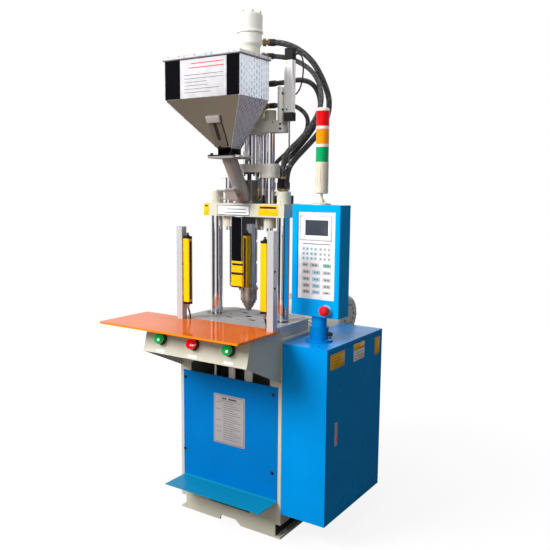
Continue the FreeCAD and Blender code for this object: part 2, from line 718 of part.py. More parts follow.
# ---- console and light curtain ------------------------------------------------------------------------
def console_face_normal():
    """Outward normal of the sloping console face."""
    rise = SHELF_BOTTOM - CONSOLE_LOW_Z
    run = CONSOLE_TOP_Y - CONSOLE_LOW_Y
    return Vector(0, -rise, run).normalize()


def console_face_y(z):
    """Y of the console face at a height."""
    share = (SHELF_BOTTOM - z) / (SHELF_BOTTOM - CONSOLE_LOW_Z)
    return CONSOLE_TOP_Y + share * (CONSOLE_LOW_Y - CONSOLE_TOP_Y)


def make_console():
    """Folded console under the shelf, open at the back and below, with three button holes."""
    t = SHEET
    back = BASE_FRONT
    outer = [
        (-CONSOLE_HALF, CONSOLE_TOP_Y, SHELF_BOTTOM),
        (-CONSOLE_HALF, CONSOLE_LOW_Y, CONSOLE_LOW_Z),
        (-CONSOLE_HALF, back, CONSOLE_BACK_Z),
        (-CONSOLE_HALF, back, SHELF_BOTTOM),
    ]
    shell = prism(outer, Vector(2 * CONSOLE_HALF, 0, 0))
    drop = 60
    inner = [
        (-CONSOLE_HALF + t, CONSOLE_TOP_Y + t, SHELF_BOTTOM - t),
        (-CONSOLE_HALF + t, console_face_y(CONSOLE_LOW_Z - drop) + t, CONSOLE_LOW_Z - drop),
        (-CONSOLE_HALF + t, back + 1, CONSOLE_BACK_Z - drop),
        (-CONSOLE_HALF + t, back + 1, SHELF_BOTTOM - t),
    ]
    shell = shell.cut(prism(inner, Vector(2 * (CONSOLE_HALF - t), 0, 0)))
    table_room = box(-CONSOLE_HALF + t, CONSOLE_HALF - t, TABLE_FRONT - 8, back + 1, SHELF_BOTTOM - t - 1, TABLE_TOP)
    shell = shell.cut(table_room)
    normal = console_face_normal()
    for x in BUTTON_X:
        start = Vector(x, console_face_y(BUTTON_Z), BUTTON_Z) - normal * 10
        shell = shell.cut(Part.makeCylinder(BUTTON_STEM_R + 3, 20, start, normal))
    return shell


def make_bezels():
    """Dark collars of the three console buttons, each with its threaded neck through the sheet."""
    bezels = []
    normal = console_face_normal()
    for x in BUTTON_X:
        seat = Vector(x, console_face_y(BUTTON_Z), BUTTON_Z)
        collar = Part.makeCylinder(BEZEL_R, BEZEL_DEPTH, seat, normal)
        collar = collar.makeChamfer(2.0, [collar.Edges[0]])
        neck = Part.makeCylinder(BUTTON_STEM_R + 3, SHEET + 8, seat - normal * (SHEET + 8), normal)
        bore = Part.makeCylinder(BUTTON_STEM_R + SLIDE_FIT, 80, seat - normal * 40, normal)
        bezels.append(collar.fuse(neck).cut(bore))
    return bezels


def make_button(x):
    """Domed push button, standing proud of its collar by its travel."""
    normal = console_face_normal()
    seat = Vector(x, console_face_y(BUTTON_Z), BUTTON_Z) + normal * (BEZEL_DEPTH + BUTTON_TRAVEL + SEAT_GAP)
    cap = Part.makeCylinder(BUTTON_R, BUTTON_HEIGHT, seat, normal)
    front = [e for e in cap.Edges if (e.BoundBox.Center - seat).dot(normal) > BUTTON_HEIGHT - 1]
    cap = cap.makeFillet(9.0, front)
    stem = Part.makeCylinder(BUTTON_STEM_R, BUTTON_STEM, seat - normal * BUTTON_STEM, normal)
    return cap.fuse(stem)


def make_shelf():
    """Acrylic shelf in front of the table."""
    back = TABLE_FRONT - SHELF_BACK_GAP
    shelf = box(SHELF_LEFT, SHELF_RIGHT, SHELF_FRONT, back, SHELF_BOTTOM, TABLE_TOP)
    return shelf.makeFillet(SHELF_CORNER, [e for e in shelf.Edges if upright(e)])


def curtain_left_x(side, post_x):
    """Lower X of a curtain bar, which faces the other post."""
    if side < 0:
        return post_x + POST_SIDE / 2 + CURTAIN_GAP
    return post_x - POST_SIDE / 2 - CURTAIN_GAP - CURTAIN_WIDTH


def make_curtain_posts():
    """Hollow square posts on the shelf, with their foot plates and the clamps that hold the bars."""
    posts = []
    half = POST_SIDE / 2
    for side, x in zip((-1, 1), POST_X):
        post = box(x - half, x + half, POST_Y - half, POST_Y + half, TABLE_TOP, POST_TOP)
        post = post.makeFillet(1.5, [e for e in post.Edges if upright(e)])
        inside = half - POST_WALL
        post = post.cut(box(x - inside, x + inside, POST_Y - inside, POST_Y + inside, TABLE_TOP + 5, POST_TOP - 3))
        near = x - side * half
        far = near - side * CURTAIN_GAP
        x0, x1 = sorted((near + side * 1.0, far))
        for z in (CURTAIN_LOW + 40, CURTAIN_HIGH - 60):
            post = post.fuse(box(x0, x1, POST_Y - 8, POST_Y + 8, z, z + 20))
        posts.append(post)
    return posts


def make_curtain_bars():
    """Light curtain housings with stepped end caps and the slot of the lens."""
    bars = []
    for side, x in zip((-1, 1), POST_X):
        x0 = curtain_left_x(side, x)
        x1 = x0 + CURTAIN_WIDTH
        y0, y1 = POST_Y - CURTAIN_DEPTH / 2, POST_Y + CURTAIN_DEPTH / 2
        body = box(x0, x1, y0, y1, CURTAIN_LOW + CURTAIN_CAP, CURTAIN_HIGH - CURTAIN_CAP)
        body = body.makeFillet(2.5, [e for e in body.Edges if upright(e)])
        for z in (CURTAIN_LOW, CURTAIN_HIGH - CURTAIN_CAP):
            body = body.fuse(box(x0 + 1, x1 - 1, y0 + 1, y1 - 1, z, z + CURTAIN_CAP))
        face = x1 if side < 0 else x0
        s0, s1 = sorted((face - 2 * (1 if side < 0 else -1), face + (1 if side < 0 else -1)))
        low, high = CURTAIN_LOW + 2 * CURTAIN_CAP, CURTAIN_HIGH - 2 * CURTAIN_CAP
        bars.append(body.cut(box(s0, s1, POST_Y - 6, POST_Y + 6, low, high)))
    return bars


# ---- injection unit -------------------------------------------------------------------------------------
def guide_spots():
    """Place, bar radius and thread radius of each of the three guide rods."""
    return (
        (-GUIDE_X, 0.0, GUIDE_R, GUIDE_THREAD_R),
        (GUIDE_X, 0.0, GUIDE_R, GUIDE_THREAD_R),
        (0.0, REAR_ROD_Y, REAR_ROD_R, REAR_THREAD_R),
    )


def make_guide_rods():
    """Rods that join platen and top beam, with threaded ends."""
    rods = []
    for x, y, radius, thread in guide_spots():
        main = rod(radius, TOP_BEAM_BOTTOM - PLATEN_TOP, x, y, PLATEN_TOP)
        low = rod(thread, PLATEN_THICK + GUIDE_NUT + GUIDE_TAIL, x, y, PLATEN_BOTTOM - GUIDE_NUT - GUIDE_TAIL)
        high = rod(thread, TOP_BEAM_THICK + CAP_NUT - 8, x, y, TOP_BEAM_BOTTOM)
        rods.append(main.fuse([low, high]))
    return rods


def make_guide_nuts():
    """Round nuts under the platen and cap nuts on the top beam."""
    nuts = []
    for x, y, radius, thread in guide_spots():
        nuts.append(tube(GUIDE_NUT_R, thread, GUIDE_NUT, x, y, PLATEN_BOTTOM - GUIDE_NUT))
        r = CAP_NUT_R
        cap = turned([(0, 0), (r, 0), (r, CAP_NUT - 3), (r - 3, CAP_NUT), (0, CAP_NUT)], x, y, TOP_BEAM_TOP)
        cap = cap.cut(rod(thread, CAP_NUT - 8, x, y, TOP_BEAM_TOP))
        nuts.append(cap.cut(rod(2, 6, x, y - r - 1, TOP_BEAM_TOP + 6, Y_AXIS)))
    return nuts


def make_top_beam():
    """Top beam with a rear lug."""
    z, d = TOP_BEAM_BOTTOM, TOP_BEAM_DEPTH
    beam = box(-TOP_BEAM_HALF, TOP_BEAM_HALF, -d, d, z, TOP_BEAM_TOP)
    neck = box(-LUG_R, LUG_R, 0, REAR_ROD_Y, z, TOP_BEAM_TOP)
    lug = rod(LUG_R, TOP_BEAM_THICK, 0, REAR_ROD_Y, z)
    pad = box(-CYLINDER_HALF, CYLINDER_HALF, -CYLINDER_HALF, CYLINDER_HALF, z + 10, TOP_BEAM_TOP)
    beam = beam.fuse([neck, lug, pad])
    for x, y, radius, thread in guide_spots():
        beam = beam.cut(rod(thread, TOP_BEAM_THICK + 2, x, y, z - 1))
    return beam.cut(rod(PISTON_ROD_R + SLIDE_FIT, TOP_BEAM_THICK + 2, 0, 0, z - 1))


def make_mid_beam():
    """Moving crosshead with its two long bosses, rear lug and drive boss."""
    z, d = MID_BEAM_BOTTOM, MID_BEAM_DEPTH
    top = z + MID_BEAM_THICK
    beam = box(-GUIDE_X, GUIDE_X, -d, d, z, top)
    parts = [rod(46, MID_BEAM_THICK, 0, 0, z), box(-LUG_R, LUG_R, 0, REAR_ROD_Y, z, top)]
    parts.append(rod(REAR_ROD_R + 14, MID_BEAM_THICK, 0, REAR_ROD_Y, z))
    for side in (-1, 1):
        boss = rod(MID_BOSS_R, MID_BEAM_THICK + MID_BOSS_DROP, side * GUIDE_X, 0, z - MID_BOSS_DROP)
        parts.append(boss.makeChamfer(2.0, [boss.Edges[0], boss.Edges[2]]))
    beam = beam.fuse(parts)
    for x, y, radius, thread in guide_spots():
        beam = beam.cut(rod(radius + SLIDE_FIT, 80, x, y, z - MID_BOSS_DROP - 1))
    beam = beam.cut(rod(SHAFT_R + SLIDE_FIT, 21, 0, 0, z - 1))
    stud_y = RAIL_Y + RAIL_DEPTH / 2
    hole_x = GUIDE_X + math.sqrt(MID_BOSS_R ** 2 - stud_y ** 2) - 12
    return beam.cut(rod(STUD_R, 40, hole_x, stud_y, top - 10, X_AXIS))


def make_piston_rod():
    """Injection piston rod on the crosshead, with its piston."""
    foot = MID_BEAM_BOTTOM + MID_BEAM_THICK
    piston_z = TOP_BEAM_TOP + CYLINDER_FLOOR + 25
    stem = rod(PISTON_ROD_R, piston_z - foot, 0, 0, foot)
    return stem.fuse(rod(PISTON_R - SLIDE_FIT, PISTON_THICK, 0, 0, piston_z))


def make_injection_cylinder():
    """Square cylinder block with its bore and the round adapter of the motor."""
    h = CYLINDER_HALF
    block = box(-h, h, -h, h, TOP_BEAM_TOP, CYLINDER_TOP)
    block = block.makeChamfer(5, [e for e in block.Edges if upright(e)])
    block = block.fuse(rod(ADAPTER_R, MOTOR_BOTTOM - CYLINDER_TOP, 0, 0, CYLINDER_TOP))
    floor = TOP_BEAM_TOP + CYLINDER_FLOOR
    block = block.cut(rod(PISTON_R, CYLINDER_TOP - 20 - floor, 0, 0, floor))
    block = block.cut(rod(PISTON_ROD_R + SLIDE_FIT, CYLINDER_FLOOR + 2, 0, 0, TOP_BEAM_TOP - 1))
    for sx in (-1, 1):
        for sy in (-1, 1):
            block = block.fuse(rod(9, 8, sx * (h - 13), sy * (h - 13), CYLINDER_TOP))
    return block


def make_hydraulic_motor():
    """Orbital hydraulic motor: lower housing, ring, upper cover and bolt heads."""
    profile = [
        (0, MOTOR_BOTTOM),
        (MOTOR_LOW_R - 8, MOTOR_BOTTOM),
        (MOTOR_LOW_R, MOTOR_BOTTOM + 14),
        (MOTOR_LOW_R, MOTOR_RING_Z),
        (MOTOR_RING_R, MOTOR_RING_Z + 3),
        (MOTOR_RING_R, MOTOR_RING_Z + 9),
        (MOTOR_TOP_R, MOTOR_RING_Z + 14),
        (MOTOR_TOP_R, MOTOR_TOP - 6),
        (MOTOR_TOP_R - 6, MOTOR_TOP),
        (0, MOTOR_TOP),
    ]
    motor = turned(profile, 0, 0)
    for k in range(6):
        angle = math.radians(60 * k + 15)
        x, y = MOTOR_BOLT_CIRCLE * math.cos(angle), MOTOR_BOLT_CIRCLE * math.sin(angle)
        motor = motor.fuse(rod(MOTOR_BOLT_R, MOTOR_BOLT, x, y, MOTOR_TOP))
    return motor


def make_barrel():
    """Heated barrel through the platen, with its bore."""
    return tube(BARREL_R, BARREL_BORE_R, PLATEN_TOP - BARREL_BOTTOM, 0, 0, BARREL_BOTTOM)


def make_nozzle():
    """Cone-shaped nozzle with a fine bore, screwed on the barrel's foot."""
    profile = [
        (NOZZLE_BORE_R, NOZZLE_TIP),
        (NOZZLE_TIP_R, NOZZLE_TIP),
        (NOZZLE_R, NOZZLE_TIP + 26),
        (NOZZLE_R, NOZZLE_TIP + 33),
        (BARREL_R, NOZZLE_TIP + 35),
        (BARREL_R, BARREL_BOTTOM),
        (BARREL_BORE_R, BARREL_BOTTOM),
        (NOZZLE_BORE_R, BARREL_BOTTOM - 14),
    ]
    return turned(profile, 0, 0)


def make_heater_bands():
    """Split heater bands clamped round the barrel, each with its tightening lug."""
    bands = []
    for z, height in HEATER_Z:
        band = tube(HEATER_R, BARREL_R, height, 0, 0, z)
        band = band.cut(box(-1.5, 1.5, 0, HEATER_R + 5, z - 1, z + height + 1))
        for side in (-1, 1):
            x0, x1 = sorted((side * 1.5, side * 5.5))
            lug = box(x0, x1, HEATER_R - 2, HEATER_R + 9, z + 8, z + height - 8)
            band = band.fuse(lug.common(box(-20, 20, 0, HEATER_R + 9, z, z + height)))
        bands.append(band)
    return bands


def cover_outline(inset):
    """Plan outline of the shield, moved inwards by an inset."""
    wing = COVER_HALF - COVER_NOSE
    turn = inset * math.tan(math.pi / 8)
    side = COVER_HALF - inset
    nose = COVER_NOSE - turn
    front = COVER_FRONT + inset
    fold = COVER_FRONT + wing + turn
    back = COVER_BACK + (1 if inset else 0)
    half = [(side, back), (side, fold), (nose, front)]
    points = [(-x, y) for x, y in half] + half[::-1]
    return [Vector(x, y, 0) for x, y in points]


def make_barrel_cover():
    """Polished shield folded round the barrel's front, hung from the platen by two ears."""
    height = PLATEN_BOTTOM - COVER_BOTTOM
    solids = []
    for inset, below, rise in ((0, 0, height), (COVER_SHEET, 1, height + 2)):
        points = cover_outline(inset)
        wire = Part.makePolygon(points + points[:1])
        wire.translate(Vector(0, 0, COVER_BOTTOM - below))
        solids.append(Part.Face(wire).extrude(Vector(0, 0, rise)))
    shield = solids[0].cut(solids[1])
    front = COVER_FRONT + COVER_HALF - COVER_NOSE
    for side in (-1, 1):
        x0, x1 = sorted((side * COVER_HALF, side * (COVER_HALF - COVER_EAR)))
        ear = box(x0, x1, front + COVER_SHEET, COVER_BACK, PLATEN_BOTTOM - COVER_SHEET, PLATEN_BOTTOM)
        shield = shield.fuse(ear)
    return shield


def make_feed_block():
    """Feed throat block on its square base plate, with an open inlet and coolant ports."""
    b = FEED_BASE_HALF
    base = box(-b, b, -b, b, PLATEN_TOP, PLATEN_TOP + FEED_BASE)
    base = base.makeFillet(10, [e for e in base.Edges if upright(e)])
    body = box(-FEED_HALF, FEED_HALF, FEED_FRONT, FEED_BACK, PLATEN_TOP, FEED_TOP)
    body = body.makeFillet(3, [e for e in body.Edges if upright(e)])
    block = base.fuse(body)
    block = block.cut(rod(BARREL_BORE_R, FEED_TOP - PLATEN_TOP + 2, 0, 0, PLATEN_TOP - 1))
    throat = Part.makeCylinder(11, 60, Vector(0, 0, PIPE_FOOT_Z + 42) - pipe_direction() * 5, pipe_direction())
    block = block.cut(throat)
    for sx in (-1, 1):
        for sy in (-1, 1):
            block = block.fuse(rod(5.5, 6, sx * (b - 7), sy * (b - 7), PLATEN_TOP + FEED_BASE))
    return block


def make_screw():
    """Plasticising screw with drive shaft and bolted coupling."""
    foot = BARREL_BOTTOM + 2
    core = rod(BARREL_BORE_R - SLIDE_FIT, PLATEN_TOP - 40 - foot, 0, 0, foot + 20)
    tip = Part.makeCone(4, BARREL_BORE_R - SLIDE_FIT, 20, Vector(0, 0, foot), Z_AXIS)
    shaft = rod(SHAFT_R, MID_BEAM_BOTTOM + 18 - (PLATEN_TOP - 30), 0, 0, PLATEN_TOP - 30)
    flange_z = MID_BEAM_BOTTOM - SEAT_GAP - COUPLING
    flange = rod(COUPLING_R, COUPLING / 2, 0, 0, flange_z + COUPLING / 2)
    screw = core.fuse([tip, shaft, flange])
    for k in range(4):
        angle = math.radians(90 * k + 45)
        reach = COUPLING_R - 5
        bolt = rod(3.5, COUPLING / 2 + 1, reach * math.cos(angle), reach * math.sin(angle), flange_z)
        screw = screw.fuse(bolt)
    return screw


# ---- hopper and feed pipe -------------------------------------------------------------------------------
def pipe_direction():
    """Unit vector up along the feed pipe."""
    return Vector(0, NECK_Y - PIPE_FOOT_Y, PIPE_TOP - PIPE_FOOT_Z).normalize()


def stub_direction():
    """Unit vector of the drain stub, square to the pipe, to the front and down."""
    up = pipe_direction()
    return Vector(0, -up.z, up.y)


def stub_centre():
    """Point of the pipe's axis where the stub leaves."""
    span = Vector(0, NECK_Y - PIPE_FOOT_Y, PIPE_TOP - PIPE_FOOT_Z)
    return Vector(0, PIPE_FOOT_Y, PIPE_FOOT_Z) + span * STUB_ALONG


def make_feed_pipe():
    """Sloping pipe with its flange, slide rails and drain stub."""
    up = pipe_direction()
    foot = Vector(0, PIPE_FOOT_Y, PIPE_FOOT_Z) - up * 30
    span = PIPE_TOP + 40 - foot.z
    outer = Part.makeCylinder(PIPE_R, span / up.z, foot, up)
    inner = Part.makeCylinder(PIPE_R - PIPE_WALL, span / up.z + 2, foot - up, up)
    out = stub_direction()
    at = stub_centre()
    outer = outer.fuse(Part.makeCylinder(STUB_R, STUB_LENGTH, at, out))
    inner = inner.fuse(Part.makeCylinder(STUB_R - PIPE_WALL, STUB_LENGTH + 1, at, out))
    below = PLATEN_TOP + FEED_BASE
    room = box(-80, 80, NECK_Y - 90, 60, below, PIPE_TOP)
    block = box(-FEED_HALF, FEED_HALF, FEED_FRONT, 80, below - 1, FEED_TOP + 1)
    beside = box(-80, 80, FEED_FRONT, 80, below - 1, FEED_TOP + 60)
    outer = outer.common(room).cut(block).cut(beside)
    g = GATE_HALF
    flange = box(-g, g, NECK_Y - g, NECK_Y + g, PIPE_TOP, PIPE_TOP + GATE_PLATE)
    rail_z = PIPE_TOP + GATE_PLATE
    pipe = outer.fuse(flange)
    for side in (-1, 1):
        y0, y1 = sorted((NECK_Y + side * g, NECK_Y + side * (g - GATE_RAIL)))
        pipe = pipe.fuse(box(-g, g, y0, y1, rail_z, rail_z + GATE_GAP))
    collar = rod(PIPE_R - PIPE_WALL, GATE_PLATE + 2, 0, NECK_Y, PIPE_TOP - 1)
    pipe = pipe.cut(inner).cut(collar)
    plate = SHUTTER_THICK + 2 * SEAT_GAP
    jaw_at = at + out * (STUB_LENGTH - 1)
    pipe = pipe.fuse(stub_jaws(jaw_at, plate))
    return pipe


def stub_block(x0, x1, along0, along1, out0, out1):
    """Block in the stub's own directions: X, along the pipe and outwards, from the stub's mouth."""
    up, out = pipe_direction(), stub_direction()
    mouth = stub_centre() + out * STUB_LENGTH
    low = mouth + Vector(x0, 0, 0) + up * along0 + out * out0
    corners = [low, low + Vector(x1 - x0, 0, 0)]
    corners += [corners[1] + up * (along1 - along0), low + up * (along1 - along0)]
    face = Part.Face(Part.makePolygon(corners + [corners[0]]))
    return face.extrude(out * (out1 - out0))


def stub_jaws(mouth, slot):
    """Flange round the stub's mouth with two grooved rails for the shutter."""
    half = SHUTTER_WIDTH / 2
    jaws = stub_block(-half, half, -half - 5, half + 5, -4, 0)
    jaws = jaws.cut(Part.makeCylinder(STUB_R - PIPE_WALL, 20, mouth - stub_direction() * 10, stub_direction()))
    for side in (-1, 1):
        a0, a1 = sorted((side * (half + SEAT_GAP), side * (half + 5)))
        l0, l1 = sorted((side * (half - 3), side * (half + 5)))
        jaws = jaws.fuse(stub_block(-half, half, a0, a1, 0, slot))
        jaws = jaws.fuse(stub_block(-half, half, l0, l1, slot, slot + 2))
    return jaws


def make_drain_shutter():
    """Flat shutter across the drain stub, with its round pass hole."""
    half = SHUTTER_WIDTH / 2
    plate = stub_block(-SHUTTER_LEFT, half, -half, half, SEAT_GAP, SEAT_GAP + SHUTTER_THICK)
    out = stub_direction()
    centre = stub_centre() + out * (STUB_LENGTH - 10) - Vector(SHUTTER_TRAVEL, 0, 0)
    return plate.cut(Part.makeCylinder(STUB_R + 1, 30, centre, out))


def gate_level():
    """Top of the gap in which the gate slides."""
    return PIPE_TOP + GATE_PLATE + GATE_GAP


def make_gate_slide():
    """Slide plate under the hopper neck with a turned-up pull."""
    half = GATE_HALF - GATE_RAIL - SEAT_GAP
    z = PIPE_TOP + GATE_PLATE + (GATE_GAP - GATE_SLIDE) / 2
    reach = GATE_HALF + 18
    slide = box(-GATE_HALF, reach, NECK_Y - half, NECK_Y + half, z, z + GATE_SLIDE)
    pull = box(reach - 3, reach, NECK_Y - 18, NECK_Y + 18, z, z + 22)
    return slide.fuse(pull)


def wall_panels(half0, half1, centre0, centre1, z0, z1):
    """Four welded sheets of a tapering or straight hopper part, mitred at its corners."""
    panels = []
    rings = []
    for half, centre, z in ((half0, centre0, z0), (half1, centre1, z1)):
        ring = []
        for inset in (0, HOPPER_WALL):
            corners = [(-1, -1), (1, -1), (1, 1), (-1, 1), (-1, -1)]
            hx, hy = half[0] - inset, half[1] - inset
            ring.append([Vector(centre[0] + sx * hx, centre[1] + sy * hy, z) for sx, sy in corners])
        rings.append(ring)
    for k in range(4):
        wires = []
        for outer, inner in rings:
            wires.append(Part.makePolygon([outer[k], outer[k + 1], inner[k + 1], inner[k], outer[k]]))
        panels.append(Part.makeLoft(wires, True, True))
    return panels


def make_hopper():
    """Sheet hopper: welded box and offset pyramid, neck with its flange, the sight slot and its rail."""
    z0, z1 = gate_level(), gate_level() + GATE_PLATE
    g, n = GATE_HALF, NECK_HALF
    size = (HOPPER_HALF_X, HOPPER_HALF_Y)
    spot = (HOPPER_X, HOPPER_Y)
    pyramid = wall_panels((n, n), size, (0, NECK_Y), spot, NECK_TOP, HOPPER_BOX_BOTTOM)
    pyramid[0] = pyramid[0].cut(sight_block(-SIGHT_HALF, SIGHT_HALF, *SIGHT_SLOT, -8, 8)).fuse(sight_rail())
    walls = wall_panels(size, size, spot, spot, HOPPER_BOX_BOTTOM, HOPPER_TOP)
    flange = box(-g, g, NECK_Y - g, NECK_Y + g, z0, z1)
    flange = flange.cut(rod(PIPE_R - PIPE_WALL, GATE_PLATE + 2, 0, NECK_Y, z0 - 1))
    neck = wall_panels((n, n), (n, n), (0, NECK_Y), (0, NECK_Y), z1, NECK_TOP)
    for sx in (-1, 1):
        for sy in (-1, 1):
            flange = flange.fuse(rod(6, 7, sx * GATE_BOLT, NECK_Y + sy * (GATE_HALF - GATE_RAIL / 2), z1))
    return pyramid + neck + [walls[0].fuse(walls[1:]), flange]


def front_slope():
    """Foot point, unit vector up the front pyramid face along its middle, and its outward normal."""
    foot = Vector(0, NECK_Y - NECK_HALF, NECK_TOP)
    head = Vector(HOPPER_X, HOPPER_Y - HOPPER_HALF_Y, HOPPER_BOX_BOTTOM)
    up = (head - foot).normalize()
    side = Vector(1, 0, 0)
    normal = side.cross(up).normalize()
    if normal.y > 0:
        normal = normal * -1
    return foot, up, normal


def sight_block(x0, x1, up0, up1, out0, out1):
    """Block on the front pyramid face, measured across, up the slope and outwards."""
    foot, up, normal = front_slope()
    low = foot + Vector(x0, 0, 0) + up * up0 + normal * out0
    corners = [low, low + Vector(x1 - x0, 0, 0)]
    corners += [corners[1] + up * (up1 - up0), low + up * (up1 - up0)]
    face = Part.Face(Part.makePolygon(corners + [corners[0]]))
    return face.extrude(normal * (out1 - out0))


def sight_rail():
    """Raised frame round the sight slot, with the stop tab above it."""
    w, tab = SIGHT_RAIL_HALF, SIGHT_TAB_HALF
    low, high = SIGHT_RAIL
    frame = sight_block(-w, w, low, high, -1, 3)
    frame = frame.cut(sight_block(-SIGHT_HALF, SIGHT_HALF, *SIGHT_SLOT, -8, 8))
    return frame.fuse(sight_block(-tab, tab, high, high + SIGHT_TAB, -1, 9))


def make_lid():
    """Loose lid with a folded skirt."""
    t = HOPPER_WALL
    x0, x1 = HOPPER_X - HOPPER_HALF_X - LID_OVER, HOPPER_X + HOPPER_HALF_X + LID_OVER
    y0, y1 = HOPPER_Y - HOPPER_HALF_Y - LID_OVER, HOPPER_Y + HOPPER_HALF_Y + LID_OVER
    lid = box(x0, x1, y0, y1, HOPPER_TOP - LID_SKIRT, HOPPER_TOP + t)
    return lid.cut(box(x0 + t, x1 - t, y0 + t, y1 - t, HOPPER_TOP - LID_SKIRT - 1, HOPPER_TOP))


# ---- transducer -----------------------------------------------------------------------------------------
def make_bracket():
    """Flat bracket on the beam's right end that carries the transducer, with the cable clip."""
    d = TOP_BEAM_DEPTH
    x0 = TOP_BEAM_HALF
    foot = box(x0, RAIL_X, -d, d, TOP_BEAM_BOTTOM, TOP_BEAM_TOP)
    bar = box(x0, RAIL_X, -d, RAIL_Y + RAIL_DEPTH, TOP_BEAM_TOP - 1, BRACKET_TOP)
    clip = box(x0, RAIL_X, RAIL_Y + RAIL_DEPTH, RAIL_Y + RAIL_DEPTH + 14, BRACKET_TOP - 36, BRACKET_TOP - 20)
    return foot.fuse([bar, clip])


def make_transducer():
    """Linear transducer: grooved extrusion and two end caps."""
    x0, x1 = RAIL_X, RAIL_X + RAIL_WIDTH
    y0, y1 = RAIL_Y, RAIL_Y + RAIL_DEPTH
    rail = box(x0, x1, y0, y1, RAIL_BOTTOM + RAIL_LOW_CAP, RAIL_TOP)
    for share in (0.3, 0.7):
        mid = x0 + share * RAIL_WIDTH
        rail = rail.cut(box(mid - 1.5, mid + 1.5, y0 - 1, y0 + 2, RAIL_BOTTOM, RAIL_TOP + 1))
    cap = box(x0, x1 + 2, y0 - 2, y1 + 2, RAIL_TOP, RAIL_TOP + RAIL_CAP)
    cap = cap.makeFillet(4, [e for e in cap.Edges if upright(e)])
    low = box(x0 + 1, x1 + 2, y0 - 2, y1 + 2, RAIL_BOTTOM, RAIL_BOTTOM + RAIL_LOW_CAP)
    hole = rod(RAIL_ROD_R + SLIDE_FIT, SCREW_STROKE + 80, rail_rod_x(), rail_rod_y(), RAIL_BOTTOM - 1)
    return rail.fuse([cap, low]).cut(hole)


def rail_rod_x():
    """X of the transducer's rod."""
    return RAIL_X + RAIL_WIDTH / 2


def rail_rod_y():
    """Y of the transducer's rod."""
    return RAIL_Y + RAIL_DEPTH / 2


def make_transducer_rod():
    """Thin rod with its ball link and the stud to the moving crosshead."""
    stud_z = MID_BEAM_BOTTOM + MID_BEAM_THICK - 10
    stud_x = GUIDE_X + math.sqrt(MID_BOSS_R ** 2 - rail_rod_y() ** 2) - 12
    stud = rod(STUD_R, STUD_END - stud_x, stud_x, rail_rod_y(), stud_z, X_AXIS)
    link = Part.makeSphere(7, Vector(rail_rod_x(), rail_rod_y(), stud_z))
    shaft = rod(RAIL_ROD_R, RAIL_BOTTOM + 40 - stud_z, rail_rod_x(), rail_rod_y(), stud_z)
    return link.fuse([stud, shaft])


# ---- cabinet ---------------------------------------------------------------------------------------------
def make_cabinet():
    """Cabinet shell, open on the right, with a rim round the door and its wall spacers."""
    t = SHEET
    shell = box(CABINET_LEFT, CABINET_RIGHT, CABINET_FRONT, CABINET_BACK, CABINET_BOTTOM, CABINET_TOP)
    inside = box(
        CABINET_LEFT + t, CABINET_RIGHT + 1,
        CABINET_FRONT + t, CABINET_BACK - t,
        CABINET_BOTTOM + t, CABINET_TOP - t,
    )
    shell = shell.cut(inside)
    x0 = CABINET_RIGHT - DOOR_DEPTH - 4
    rim = box(x0, CABINET_RIGHT, CABINET_FRONT, CABINET_BACK, CABINET_TOP - CABINET_RIM, CABINET_TOP)
    sill = box(x0, CABINET_RIGHT, CABINET_FRONT, CABINET_BACK, CABINET_BOTTOM, CABINET_BOTTOM + CABINET_RIM)
    jamb = box(x0, CABINET_RIGHT, CABINET_FRONT, CABINET_FRONT + 8, CABINET_BOTTOM, CABINET_TOP)
    shell = shell.fuse([rim, sill, jamb])
    x, y = hinge_spot()
    for z in (CABINET_BOTTOM, CABINET_TOP - CABINET_RIM - 1):
        shell = shell.cut(rod(HINGE_R, CABINET_RIM + 1, x, y, z))
    for y0 in (CABINET_FRONT + 40, BASE_BACK - 60):
        for z in (CABINET_BOTTOM + 60, CABINET_TOP - 90):
            shell = shell.fuse(box(BASE_HALF, CABINET_LEFT, y0, y0 + 40, z, z + 40))
    gland = rod(20, t + 2, POST_BASE_X, POST_BASE_Y, CABINET_TOP - t - 1)
    return shell.cut(gland)


def hinge_spot():
    """Door axis in plan."""
    return CABINET_RIGHT - HINGE_INSET, CABINET_BACK - SHEET - DOOR_GAP - HINGE_INSET


def door_limits():
    """Y and Z limits of the door."""
    y0 = CABINET_FRONT + 8 + DOOR_GAP
    y1 = CABINET_BACK - SHEET - DOOR_GAP
    z0 = CABINET_BOTTOM + CABINET_RIM + DOOR_GAP
    z1 = CABINET_TOP - CABINET_RIM - DOOR_GAP
    return y0, y1, z0, z1


def make_door():
    """Pan-shaped door with pivot holes and the latch cut-out."""
    y0, y1, z0, z1 = door_limits()
    x0, x1 = CABINET_RIGHT - DOOR_DEPTH, CABINET_RIGHT
    t = SHEET
    pan = box(x0, x1, y0, y1, z0, z1)
    corner = [e for e in pan.Edges if upright(e) and abs(e.Vertexes[0].X - x1) < 1e-6]
    pan = pan.makeFillet(DOOR_BEND, corner)
    pan = pan.cut(box(x0 - 1, x1 - t, y0 + t, y1 - t, z0 + t, z1 - t))
    x, y = hinge_spot()
    for z in (z0, z1 - t - 8):
        pan = pan.fuse(box(x - 6, x1 - 1, y - 6, y1 - 1, z, z + 8 + t))
    pan = pan.cut(rod(HINGE_R + SLIDE_FIT, z1 - z0 + 2, x, y, z0 - 1))
    h = LATCH_HALF + SEAT_GAP
    low, high = LATCH_LOW - SEAT_GAP, LATCH_HIGH + LATCH_TOP_GAP
    pan = pan.cut(box(x1 - t - 1, x1 + 1, LATCH_Y - h, LATCH_Y + h, low, high))
    cup = box(x1 - 14, x1 - t, LATCH_Y - h - 3, LATCH_Y + h + 3, low - 4, high + 4)
    cup = cup.cut(box(x1 - 12, x1, LATCH_Y - h, LATCH_Y + h, low, high))
    return pan.fuse(cup).cut(latch_pivot(LATCH_PIN_R + SLIDE_FIT, h + 2.5))


